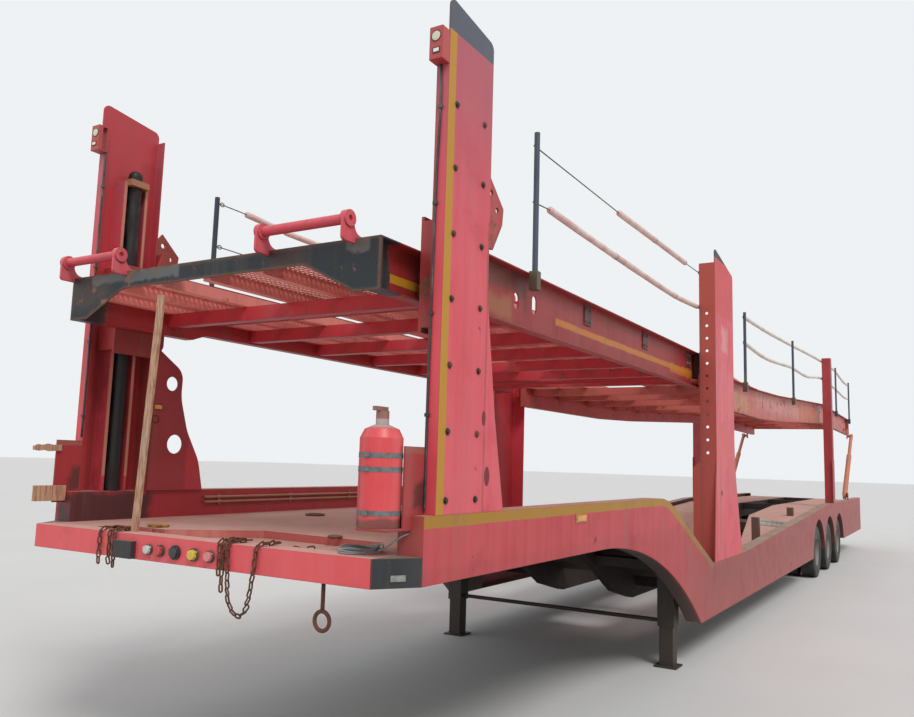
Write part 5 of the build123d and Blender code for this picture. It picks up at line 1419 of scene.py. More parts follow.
@dataclass
class Chains:
    """Lashing chains over the front beam and on the shelf, and the hanging ring."""

    bar: float = 0.0042
    link_length: float = 0.044
    link_width: float = 0.026
    link_points: int = 12
    pitch: float = 0.033
    twist: float = 0.16
    seed: int = 4
    paths: tuple[tuple[Point, ...], ...] = (
        ((140, -560, 1256), (60, -562, 1258), (24, -566, 1250), (20, -566, 1225), (21, -566, 1100)),
        ((145, -486, 1256), (60, -489, 1258), (24, -490, 1250), (20, -490, 1225), (21, -490, 1105)),
        ((130, -455, 1256), (60, -453, 1258), (24, -452, 1250), (20, -452, 1225), (21, -452, 1092)),
        ((172, -690, 1217), (232, -620, 1217), (196, -520, 1217), (262, -440, 1217), (222, -350, 1217),
         (182, -280, 1217)),
        ((130, 280, 1256), (60, 282, 1258), (24, 284, 1250), (20, 284, 1225), (21, 284, 1120)),
        ((130, 312, 1256), (60, 308, 1258), (24, 306, 1250), (20, 306, 1225), (21, 306, 1050)),
        ((140, 345, 1256), (60, 338, 1258), (24, 335, 1250), (20, 336, 1200), (21, 350, 1010), (21, 385, 955),
         (21, 427, 940), (21, 465, 965), (21, 490, 1080), (20, 508, 1215), (24, 512, 1250), (60, 513, 1258),
         (145, 515, 1256)),
        ((170, 430, 1217), (232, 452, 1217), (300, 492, 1217), (360, 530, 1217)),
    )
    ring: Point = (90, 840, 961)
    ring_radius: float = 0.040
    ring_bar: float = 0.009
    stem_top: float = 1.13
    stem_sink: float = 0.004

    def link(self) -> Thing:
        """One oval link along Z, its middle at the origin.

        Returns:
            The stencil object.
        """
        shape = bmesh.new()
        straight = (self.link_length - self.link_width) / 2
        reach = self.link_width / 2 - self.bar
        points = circle(Vector(), (reach, 0, 0), (0, 0, reach), self.link_points)
        for k, point in enumerate(points):
            point.z += straight if k < self.link_points // 2 else -straight
        add_tube(shape, points, self.bar, 6, closed=True)
        return from_bmesh("link", shape, smooth=True)

    def build(self, shop: Workshop, skins: Skins) -> None:
        """Hang the chains and the ring.

        Args:
            shop: The workshop.
            skins: Materials by name.
        """
        carrier = add_curve("chain_paths", "POLY", [[spot(*p) for p in points] for points in self.paths], 8)
        piece = shop.on_curve.run("chain_links", carrier, self.link(), skins["chain_rust"], self.pitch, self.twist,
                                  self.seed)
        centre, reach = spot(*self.ring), self.ring_radius
        with grown(piece) as shape:
            add_tube(shape, circle(centre, (0, reach, 0), (0, 0, reach), 32), self.ring_bar, 10, closed=True)
            stem = [Vector((centre.x, centre.y, z)) for z in (centre.z + reach - self.stem_sink, self.stem_top)]
            add_tube(shape, stem, self.ring_bar, 12)
        for polygon in piece.data.polygons:
            polygon.use_smooth = True
        shop.add(piece, "chassis", "rusted_steel", "chains")


@dataclass
class Wheels:
    """Tread, wheel nuts and hub caps of the twin wheels."""

    stations: tuple[float, ...] = (11670, 12980, 14290)
    radius: float = 0.3985
    width: float = 0.233
    outer_y: float = 1.1075
    inner_y: float = 0.8425
    rim: float = 0.222
    side_wall: Line = ((-0.002, 0.024), (0.012, 0.016), (0.030, 0.006), (0.060, 0), (0.095, 0.001), (0.130, 0.006))
    shoulder: Line = ((-0.012, 0.012), (0, 0.022))
    groove: float = 0.011
    rows: int = 64
    first_row: float = 0.02
    block_share: float = 0.80
    block_shift: float = 0.25
    block_root: float = -0.004
    blocks: Line = ((-0.098, -0.062), (-0.056, -0.021), (-0.015, 0.015), (0.021, 0.056), (0.062, 0.098))
    block_drops: tuple[float, ...] = (0.003, 0.0005, 0.0005, 0.0005, 0.003)
    nuts: int = 10
    nut_circle: float = 0.130
    nut_seat: float = 0.0141
    nut: Line = ((0, 0), (0.019, 0), (0.019, 0.004), (0.0155, 0.006), (0.0155, 0.022), (0.011, 0.024),
                 (0.011, 0.034), (0, 0.035))
    hub_seat: float = 0.144
    hub: Line = ((0.112, -0.02), (0.112, 0.001), (0.094, 0.006), (0.092, 0.016), (0.060, 0.020), (0, 0.020))

    def tyre_profile(self) -> list[Pair]:
        """Section of a tyre without its tread blocks, from bead to bead.

        Returns:
            (radius, height) points.
        """
        side, carcass = self.width / 2, self.radius - self.groove
        half = [(base + rise, side - inset) for base, steps in ((self.rim, self.side_wall), (carcass, self.shoulder))
                for rise, inset in steps]
        return half + [(r, -y) for r, y in reversed(half)]

    def block_row(self) -> Thing:
        """One row of tread blocks at the top of a tyre, lying along Y.

        Returns:
            The stencil object.
        """
        shape = bmesh.new()
        length = 2 * math.pi * self.radius / self.rows * self.block_share
        for number, ((low, high), drop) in enumerate(zip(self.blocks, self.block_drops)):
            shift = (self.block_shift if number % 2 else -self.block_shift) * length
            add_box(shape, (shift - length / 2, low, self.block_root), (shift + length / 2, high, self.groove - drop))
        return from_bmesh("block_row", shape)

    def build_tyres(self, shop: Workshop, skins: Skins, centre: Vector, side: int, label: str) -> None:
        """Build the twin tyres of one wheel.

        Args:
            shop: The workshop.
            skins: Materials by name.
            centre: Middle of its axle.
            side: 1 for left, -1 for right.
            label: The wheel's number and side.
        """
        shape = bmesh.new()
        places, turns = [], []
        reach = self.radius - self.groove
        for y in (self.outer_y, self.inner_y):
            middle = centre + Vector((0, side * y, 0))
            add_turned(shape, self.tyre_profile(), turned(middle, math.pi / 2, "X"), 64)
            for k in range(self.rows):
                a = 2 * math.pi * k / self.rows + self.first_row * side
                places.append(middle + reach * Vector((math.sin(a), 0, math.cos(a))))
                turns.append((0.0, a, 0.0))
        blocks = shop.on_points.run("blocks", shop.points(places, turns), self.block_row(), skins["tyre_rubber"])
        shape.from_mesh(blocks.data)
        bpy.data.objects.remove(blocks)
        piece = from_bmesh(f"twin_tyres_{label}", shape, skins["tyre_rubber"])
        shop.add(piece, f"wheel_{label}", "tyre_rubber", f"tyres_{label}")

    def build_nuts(self, shop: Workshop, skins: Skins, centre: Vector, side: int, label: str) -> None:
        """Build the nuts and the hub cap of one wheel.

        Args:
            shop: The workshop.
            skins: Materials by name.
            centre: Middle of its axle.
            side: 1 for left, -1 for right.
            label: The wheel's number and side.
        """
        nut = bmesh.new()
        add_turned(nut, self.nut, Matrix.Identity(4), 6)
        disc = (self.outer_y + self.inner_y) / 2
        places = []
        for k in range(self.nuts):
            a = 2 * math.pi * (k + 0.5) / self.nuts
            places.append(centre + Vector((self.nut_circle * math.sin(a), side * (disc + self.nut_seat),
                                           self.nut_circle * math.cos(a))))
        turns = [(-side * math.pi / 2, 0.0, 0.0)] * self.nuts
        piece = shop.on_points.run(f"wheel_nuts_{label}", shop.points(places, turns), from_bmesh("nut", nut),
                                   skins["hub_steel"])
        with grown(piece) as shape:
            place = turned(centre + Vector((0, side * (disc + self.hub_seat), 0)), -side * math.pi / 2, "X")
            add_turned(shape, self.hub, place, 32)
        shop.add(piece, f"wheel_{label}", "rim_paint")

    def build(self, shop: Workshop, skins: Skins) -> None:
        """Build all six wheels.

        Args:
            shop: The workshop.
            skins: Materials by name.
        """
        for number, station in enumerate(self.stations, 1):
            centre = Vector((at(station), 0, self.radius))
            for name, side in (("left", 1), ("right", -1)):
                self.build_tyres(shop, skins, centre, side, f"{number}_{name}")
                self.build_nuts(shop, skins, centre, side, f"{number}_{name}")


@dataclass(frozen=True)
class Mesh:
    """Cell of a perforated track: its pitch along and across, and its diamond hole, in metres."""

    pitch: float
    width: float
    hole: Pair


@dataclass
class DeckTracks:
    """Perforated wheel tracks of the two upper decks, the stringers and the thin bars under them."""

    inner: float = 0.330
    outer: float = 1.000
    plate: float = 0.0035
    stringer_width: float = 0.050
    stringer_height: float = 0.0625
    stringer_ys: tuple[float, ...] = (0.330, 0.640, 0.950)
    front_mesh: Mesh = Mesh(0.036, 0.0305, (0.0310, 0.0260))
    aft_mesh: Mesh = Mesh(0.060, 0.0372, (0.0520, 0.0310))
    front_line: Line = ((95, 2562), (5290, 2562))
    aft_line: Line = ((5700, 2560), (8100, 2560), (9400, 2600), (13900, 2815), (18150, 2770))
    members: tuple[int, ...] = (700, 1400, 2100, 2800, 3500, 4200, 4900)
    member_width: float = 70
    bar: float = 0.018

    def cell(self, length: float, mesh: Mesh) -> Thing:
        """One piece of plate with a diamond hole, its middle at the origin.

        Args:
            length: Length of the piece along X.
            mesh: Sizes of the cell.

        Returns:
            The stencil object.
        """
        shape = bmesh.new()
        hx, hy = length / 2, mesh.width / 2
        sx, sy = mesh.hole[0] / 2, mesh.hole[1] / 2
        outer = [(-hx, -hy), (hx, -hy), (hx, hy), (-hx, hy)]
        hole = [(0, -sy), (sx, 0), (0, sy), (-sx, 0)]
        rims = []
        for z, flip in ((0.0, False), (-self.plate, True)):
            ring = [shape.verts.new((x, y, z)) for x, y in outer]
            gap = [shape.verts.new((x, y, z)) for x, y in hole]
            for k in range(4):
                after = (k + 1) % 4
                for corners in ((ring[k], ring[after], gap[k]), (ring[after], gap[after], gap[k])):
                    shape.faces.new(corners if not flip else tuple(reversed(corners)))
            rims.append(gap)
        upper, lower = rims
        for k in range(4):
            shape.faces.new((upper[k], upper[(k + 1) % 4], lower[(k + 1) % 4], lower[k]))
        return from_bmesh("cell", shape)

    def strip(self, shop: Workshop, shape: Shape, line: Line, mesh: Mesh, ys: Pair,
              skin: Finish) -> None:
        """Add one strip of perforated plate.

        Args:
            shop: The workshop.
            shape: The bmesh.
            line: Stations and heights of the plate's top.
            mesh: Sizes of its cells.
            ys: Its right and its left edge.
            skin: Its material.
        """
        wide = ys[1] - ys[0]
        rows = round(wide / mesh.width)
        fitted = Mesh(mesh.pitch, wide / rows, mesh.hole)
        for (s0, z0), (s1, z1) in zip(line, line[1:]):
            run = abs(s1 - s0) / 1000
            count = max(1, round(run / mesh.pitch))
            slope = math.atan2((z1 - z0) / 1000, run)
            places = []
            for k in range(count):
                share = (k + 0.5) / count
                for row in range(rows):
                    y = ys[0] + (row + 0.5) * fitted.width
                    places.append((at(s0 + share * (s1 - s0)), y, (z0 + share * (z1 - z0)) / 1000))
            carrier = shop.points(places, [(0.0, slope, 0.0)] * len(places))
            part = shop.on_points.run("part", carrier, self.cell(run / count / math.cos(slope), fitted), skin)
            shape.from_mesh(part.data)
            bpy.data.objects.remove(part)

    def stringers(self, shape: Shape, line: Line, y0: float, y1: float) -> None:
        """Add one stringer under a strip, stretch by stretch.

        Args:
            shape: The bmesh.
            line: Stations and heights of the plate's top.
            y0: One side.
            y1: The other side.
        """
        for start, end in zip(line, line[1:]):
            corners = []
            for station, z in (start, end):
                for drop in (self.plate, self.plate + self.stringer_height):
                    corners += [shape.verts.new((at(station), y, z / 1000 - drop)) for y in (y0, y1)]
            a, b, c, d, e, f, g, h = corners
            for face in ((a, b, d, c), (e, g, h, f), (a, e, f, b), (c, d, h, g), (a, c, g, e), (b, f, h, d)):
                shape.faces.new(face)

    def track(self, shop: Workshop, deck: str, line: Line, mesh: Mesh, skin: Finish) -> None:
        """Build both tracks of a deck.

        Args:
            shop: The workshop.
            deck: The deck's name.
            line: Stations and heights of the plate's top.
            mesh: Sizes of its cells.
            skin: Its material.
        """
        shape = bmesh.new()
        for side in (1, -1):
            low, high = sorted((side * self.inner, side * self.outer))
            self.strip(shop, shape, line, mesh, (low, high), skin)
            for y in self.stringer_ys:
                self.stringers(shape, line, side * y, side * (y + self.stringer_width))
        shop.add(from_bmesh(f"{deck}_tracks", shape, skin), deck, "floor_red", f"{deck}_floor")

    def middle(self, shop: Workshop, skin: Finish) -> None:
        """Add the plate between the left track and the middle of the front deck, with its stringer.

        Args:
            shop: The workshop.
            skin: Its material.
        """
        shape = bmesh.new()
        half = self.stringer_width / 2
        self.strip(shop, shape, self.front_line, self.front_mesh, (-half, self.inner), skin)
        self.stringers(shape, self.front_line, -half, half)
        shop.add(from_bmesh("front_deck_middle", shape, skin), "front_deck", "floor_red")

    def bars(self, shop: Workshop, skin: Finish) -> None:
        """Add the thin cross bars between the members of the front deck.

        Args:
            shop: The workshop.
            skin: Their material.
        """
        z = self.front_line[0][1] / 1000 - self.plate - self.stringer_height - self.bar / 2
        places = [(at((one + self.member_width + two) / 2), 0.0, z) for one, two in zip(self.members, self.members[1:])]
        stencil = bmesh.new()
        add_block(stencil, (0, 0, 0), (self.bar / 2, self.outer, self.bar / 2))
        made = shop.on_points.run("front_deck_bars", shop.points(places), from_bmesh("bar", stencil), skin)
        shop.add(made, "front_deck", "floor_red")

    def build(self, shop: Workshop, skins: Skins) -> None:
        """Build the tracks of both decks.

        Args:
            shop: The workshop.
            skins: Materials by name.
        """
        skin = skins["track_red"]
        self.track(shop, "front_deck", self.front_line, self.front_mesh, skin)
        self.track(shop, "aft_deck", self.aft_line, self.aft_mesh, skin)
        self.middle(shop, skin)
        self.bars(shop, skins["member_red"])


@dataclass(frozen=True)
class Rail:
    """One wire rope: stations and heights along it, and the first and last point of each foam sleeve."""

    line: Line
    sleeves: tuple[tuple[int, int], ...] = ()


@dataclass
class DeckRopes:
    """Wire ropes between the deck posts with their foam sleeves, tapes and shackles."""

    wire: float = 0.004
    foam: float = 0.0235
    foam_slack: float = 0.0012
    foam_sides: int = 14
    swells: Line = ((0.0006, 4.1), (0.0004, 11.0))
    step: float = 0.05
    tape: float = 0.0237
    tape_half: float = 0.022
    tape_pitch: float = 1.3
    ring_half: Pair = (0.0182, 0.013)
    ring_bar: float = 0.0035
    ring_shift: float = 0.026
    y: float = 1.0738
    front: tuple[tuple[int, Rail], ...] = (
        (1, Rail(((1550, 3518), (3004, 3509), (4757, 3524), (5262, 3532)), ((1, 2),))),
        (1, Rail(((1550, 3172), (1790, 3190), (2506, 3172), (3590, 3156), (4427, 3152), (5160, 3185), (5262, 3190)),
                 ((1, 5),))),
        (-1, Rail(((1110, 3333), (1365, 3328), (1730, 3306), (2130, 3295), (5120, 3290), (5262, 3300)), ((1, 4),))),
        (-1, Rail(((1110, 3037), (3100, 3015), (5262, 3030)))),
    )
    aft_sleeves: tuple[tuple[int, int], ...] = ((1, 3), (4, 7), (8, 10))
    aft: tuple[Line, ...] = (
        ((7170, 3422), (7260, 3425), (8581, 3456), (10410, 3530), (10590, 3539), (12081, 3609), (13809, 3679),
         (15610, 3722), (15790, 3725), (17179, 3636), (17970, 3631), (18060, 3630)),
        ((7170, 3121), (7260, 3119), (8547, 3094), (10410, 3193), (10590, 3196), (12017, 3215), (13747, 3356),
         (15610, 3347), (15790, 3346), (17179, 3298), (17970, 3312), (18060, 3314)),
    )

    def rope(self, shape: Shape, side: int, rail: Rail, seed: float) -> None:
        """Add one rope with its sleeves and a shackle at each end.

        Args:
            shape: The bmesh: slot 0 wire, 1 foam, 2 tape.
            side: 1 for left, -1 for right.
            rail: The rope.
            seed: Number that varies the sleeves.
        """
        places = [Vector((at(s), side * self.y, z / 1000)) for s, z in rail.line]
        for a, b in zip(places, places[1:]):
            add_tube(shape, [a, b], self.wire, 6)
        for first, last in rail.sleeves:
            self.sleeve(shape, smooth_line(places[first:last + 1], self.step), seed)
        across, up = (self.ring_half[0], 0, 0), (0, 0, self.ring_half[1])
        for place, inward in ((places[0], -1), (places[-1], 1)):
            centre = place + Vector((inward * self.ring_shift, 0, 0))
            add_tube(shape, circle(centre, across, up, 12), self.ring_bar, 6, closed=True)

    def sleeve(self, shape: Shape, line: Sequence[Vector], seed: float) -> None:
        """Add one foam sleeve with its tapes.

        Args:
            shape: The bmesh.
            line: Points of its middle line.
            seed: Number that varies it.
        """
        radii, travelled = [], 0.0
        for k, point in enumerate(line):
            if k:
                travelled += (point - line[k - 1]).length
            swell = sum(size * math.sin(rate * travelled + number * seed)
                        for number, (size, rate) in enumerate(self.swells, 1))
            radii.append(self.foam - self.foam_slack + swell)
        add_tube(shape, line, radii, self.foam_sides, material=1)
        count = max(1, int(travelled / self.tape_pitch))
        for number in range(count):
            share = (number + 0.5 + 0.2 * math.sin(seed + 5 * number)) / count
            k = min(len(line) - 2, max(1, int(share * (len(line) - 1))))
            reach = self.tape_half * (line[k + 1] - line[k]).normalized()
            add_tube(shape, [line[k] - reach, line[k] + reach], self.tape, self.foam_sides, material=2)

    def build(self, shop: Workshop, skins: Skins) -> None:
        """Build the ropes of both decks.

        Args:
            shop: The workshop.
            skins: Materials by name.
        """
        front = [(side, rail, 1.7 * number) for number, (side, rail) in enumerate(self.front)]
        aft = [(side, Rail(line, self.aft_sleeves), 0.9 * number + side)
               for side in (1, -1) for number, line in enumerate(self.aft)]
        for deck, ropes, foam in (("front", front, "foam_pink"), ("aft", aft, "foam_cream")):
            shape = bmesh.new()
            for side, rail, seed in ropes:
                self.rope(shape, side, rail, seed)
            piece = from_bmesh(f"{deck}_rail_ropes", shape, skins["bare_steel"], skins[foam], skins["tape_grey"],
                               smooth=True)
            shop.add(piece, f"{deck}_deck", "foam_sleeve", f"{deck}_deck_ropes")


@dataclass
class Fasteners:
    """Bolts in the outer webs of the front columns and on the brackets of the front deck."""

    washer: Line = ((0, 0), (0.0165, 0), (0.0165, 0.0025), (0.0118, 0.003))
    head: Line = ((0.0118, 0.0028), (0.0118, 0.009), (0.0095, 0.0105), (0, 0.0105))
    web_y: float = 1.250
    column_stations: Pair = (383, 641)
    column_heights: tuple[float, ...] = (3268, 2967, 2660, 2362, 2064, 1771, 1473)
    bracket_y: float = 1.016
    bracket_scale: float = 0.9
    bracket_stations: tuple[float, ...] = (2562, 3797, 5064)
    bracket_bolts: Line = ((-36, 2625), (36, 2625), (-36, 2704), (36, 2704))

    def bolts(self, shop: Workshop, name: str, spots: Line, y: float, scale: float, skin: Finish, body: str) -> None:
        """Set bolts of one size on both sides.

        Args:
            shop: The workshop.
            name: Name of the piece.
            spots: Station and height of each bolt of a side.
            y: Distance of the seat from the middle.
            scale: Size of the bolts; 1 is a 24 mm hexagon.
            skin: Their material.
            body: Body that they ride on.
        """
        stencil = bmesh.new()
        for profile, sides in ((self.washer, 16), (self.head, 6)):
            add_turned(stencil, [(r * scale, z * scale) for r, z in profile], Matrix.Identity(4), sides)
        places, turns = [], []
        for side in (1, -1):
            for station, z in spots:
                places.append((at(station), side * y, z / 1000))
                turns.append((-side * math.pi / 2, 0.0, 0.0))
        piece = shop.on_points.run(name, shop.points(places, turns), from_bmesh("bolt", stencil), skin)
        shop.add(piece, body, "rusted_steel")

    def build(self, shop: Workshop, skins: Skins) -> None:
        """Set the bolts.

        Args:
            shop: The workshop.
            skins: Materials by name.
        """
        spots = tuple((s, z) for s in self.column_stations for z in self.column_heights)
        self.bolts(shop, "column_bolts", spots, self.web_y, 1.0, skins["greasy_steel"], "chassis")
        spots = tuple((s + shift, z) for s in self.bracket_stations for shift, z in self.bracket_bolts)
        self.bolts(shop, "deck_bolts", spots, self.bracket_y, self.bracket_scale, skins["bare_steel"], "front_deck")


@dataclass
class SideMarkers:
    """Amber marker lamps in ochre frames on the neck, and the lamp and the ring on the right gusset."""

    station: float = 1906
    z: float = 1333
    frame: Point = (0.080, 1.2525, 0.025)
    frame_half: float = 0.003
    lens: Point = (0.064, 1.2570, 0.016)
    lens_half: float = 0.0025
    gusset_y: float = -1.100
    gusset_lamp: Pair = (750, 1926)
    gusset_base: Point = (0.034, 0.002, 0.020)
    gusset_glass: Point = (0.027, 0.002, 0.013)
    gusset_shifts: Pair = (0.001, 0.004)
    gusset_ring: Pair = (738, 1850)
    ring_radius: float = 0.024
    ring_bar: float = 0.003

    def build(self, shop: Workshop, skins: Skins) -> None:
        """Set the lamps: slot 0 ochre, 1 amber, 2 steel.

        Args:
            shop: The workshop.
            skins: Materials by name.
        """
        shape = bmesh.new()
        x, z = at(self.station), self.z / 1000
        for side in (1, -1):
            for number, ((hx, y, hz), hy) in enumerate(((self.frame, self.frame_half), (self.lens, self.lens_half))):
                add_block(shape, (x, side * y, z), (hx, hy, hz), 0.002, number)
        x, z = at(self.gusset_lamp[0]), self.gusset_lamp[1] / 1000
        low, high = self.gusset_shifts
        add_block(shape, (x, self.gusset_y + low, z), self.gusset_base, 0.001, 2)
        add_block(shape, (x, self.gusset_y + high, z), self.gusset_glass, 0.0015, 1)
        centre = Vector((at(self.gusset_ring[0]), self.gusset_y + self.ring_bar, self.gusset_ring[1] / 1000))
        ring = circle(centre, (self.ring_radius, 0, 0), (0, 0, self.ring_radius), 20)
        add_tube(shape, ring, self.ring_bar, 8, closed=True, material=2)
        piece = from_bmesh("neck_markers", shape, skins["marker_ochre"], skins["lens_amber"], skins["greasy_steel"])
        shop.add(piece, "chassis", "lamp_plastic")


@dataclass
class Lamps:
    """Lamp boxes on the front columns and the tail lamps."""

    box: Pair = (242, 306)
    ys: Pair = (1.180, 1.250)
    zs: Pair = (3.436, 3.592)
    wall: float = 0.008
    front_block: float = 26
    lens: Pair = (1.215, 3.546)
    lens_rim: Line = ((0.027, -0.002), (0.027, 0.0018), (0.023, 0.0022))
    lens_glass: Line = ((0.023, 0.001), (0.021, 0.0030), (0.01485, 0.0043), (0, 0.005))
    small: Pair = (1.219, 3.477)
    small_base: Point = (0.00225, 0.020, 0.014)
    small_glass: Point = (0.00225, 0.014, 0.008)
    small_shifts: Pair = (0.00025, 0.00225)
    tail: Pair = (18172, 18200)
    tail_ys: Pair = (0.685, 1.035)
    tail_zs: Pair = (0.868, 0.972)
    tail_frame: float = 0.004
    tail_gap: float = 0.002
    tail_margin: float = 0.006
    tail_depth: float = 0.010
    tail_fields: tuple[tuple[float, int], ...] = ((0.23, 4), (0.27, 3), (0.25, 5), (0.25, 4))

    def column_box(self, shape: Shape, side: int) -> None:
        """Add one lamp box; the right one is an open frame.

        Args:
            shape: The bmesh.
            side: 1 for left, -1 for right.
        """
        front, rear = (at(s) for s in self.box)
        (y0, y1), (z0, z1) = self.ys, self.zs
        if side > 0:
            add_box(shape, (rear, y0, z0), (front, y1, z1), 0.003)
        else:
            block, wall = at(self.box[0] + self.front_block), self.wall
            for x0, low, x1, high in ((block, z0, front, z1), (rear, z0, block, z0 + wall),
                                      (rear, z1 - wall, block, z1), (rear, z0 + wall, rear + wall, z1 - wall)):
                add_box(shape, (x0, -y1, low), (x1, -y0, high), 0.001)
        y, z = self.lens
        place = turned((front, side * y, z), math.pi / 2, "Y")
        for profile, material in ((self.lens_rim, 2), (self.lens_glass, 1)):
            add_turned(shape, profile, place, 28, material)
        y, z = self.small
        for material, (shift, half) in enumerate(zip(self.small_shifts, (self.small_base, self.small_glass)), 2):
            add_block(shape, (front + shift, side * y, z), half, 0.001, material)

    def tail_lamp(self, shape: Shape, side: int) -> None:
        """Add one tail lamp with blank lenses in four fields.

        Args:
            shape: The bmesh.
            side: 1 for left, -1 for right.
        """
        front, rear = (at(s) for s in self.tail)
        (y0, y1), (z0, z1) = self.tail_ys, self.tail_zs
        add_box(shape, (rear + self.tail_depth, side * y0, z0), (front, side * y1, z1), 0.002, 2)
        y = y0 + self.tail_frame
        for share, material in self.tail_fields:
            width = share * (y1 - y0 - 2 * self.tail_frame)
            add_box(shape, (rear, side * (y + self.tail_gap), z0 + self.tail_margin),
                    (rear + self.tail_depth + 0.002, side * (y + width - self.tail_gap), z1 - self.tail_margin),
                    0.003, material)
            y += width

    def build(self, shop: Workshop, skins: Skins) -> None:
        """Build all lamps that stand for the CAD lamps.

        Args:
            shop: The workshop.
            skins: Materials by name.
        """
        shape = bmesh.new()
        for side in (1, -1):
            self.column_box(shape, side)
            self.tail_lamp(shape, side)
        names = ("lamp_red", "lens_cream", "lamp_black", "lens_white", "lens_red", "lens_amber")
        piece = from_bmesh("lamp_set", shape, *(skins[n] for n in names))
        shop.add(piece, "chassis", "lamp_plastic", "lamps")


@dataclass
class Couplings:
    """Air and electric couplings on the front beam, each with its cap, seal and lugs."""

    front: float = 32
    z: float = 1.180
    stubs: tuple[tuple[float, float, float], ...] = ((-201, 26, 26), (-117, 28, 30), (-14, 34, 24), (115, 30, 30),
                                                     (217, 28, 26))
    body: Line = ((1, 0), (1, 0.10), (0.93, 0.13), (0.93, 0.34), (1, 0.38), (1, 0.48), (0.80, 0.50))
    cap: Line = ((0.80, 0.48), (0.76, 0.55), (0.75, 0.90), (0.68, 1), (0, 1))
    lug_turns: Pair = (0.6, 2.7)
    lug_place: Pair = (0.55, 0.86)
    lug_half: Point = (0.15, 0.006, 0.004)

    def build(self, shop: Workshop, skins: Skins) -> None:
        """Set the couplings; their sections are in shares of radius and reach.

        Args:
            shop: The workshop.
            skins: Materials by name.
        """
        shape = bmesh.new()
        for number, (y, radius, reach) in enumerate(self.stubs):
            r, d = radius / 1000, reach / 1000
            base = Vector((at(self.front), y / 1000, self.z))
            for profile, material in ((self.body, 2), (self.cap, number)):
                add_turned(shape, [(a * r, b * d) for a, b in profile], turned(base, math.pi / 2, "Y"), 28, material)
            ahead, out = self.lug_place[0] * d, self.lug_place[1] * r
            for turn in self.lug_turns:
                lug = Vector((ahead, out * math.cos(turn), out * math.sin(turn)))
                add_block(shape, base + lug, (self.lug_half[0] * d, *self.lug_half[1:]), 0.001, number)
        names = ("cap_pale", "cap_red", "lamp_black", "cap_yellow", "cap_pink")
        piece = from_bmesh("coupling_set", shape, *(skins[n] for n in names))
        shop.add(piece, "chassis", "coupling_mix", "couplings")


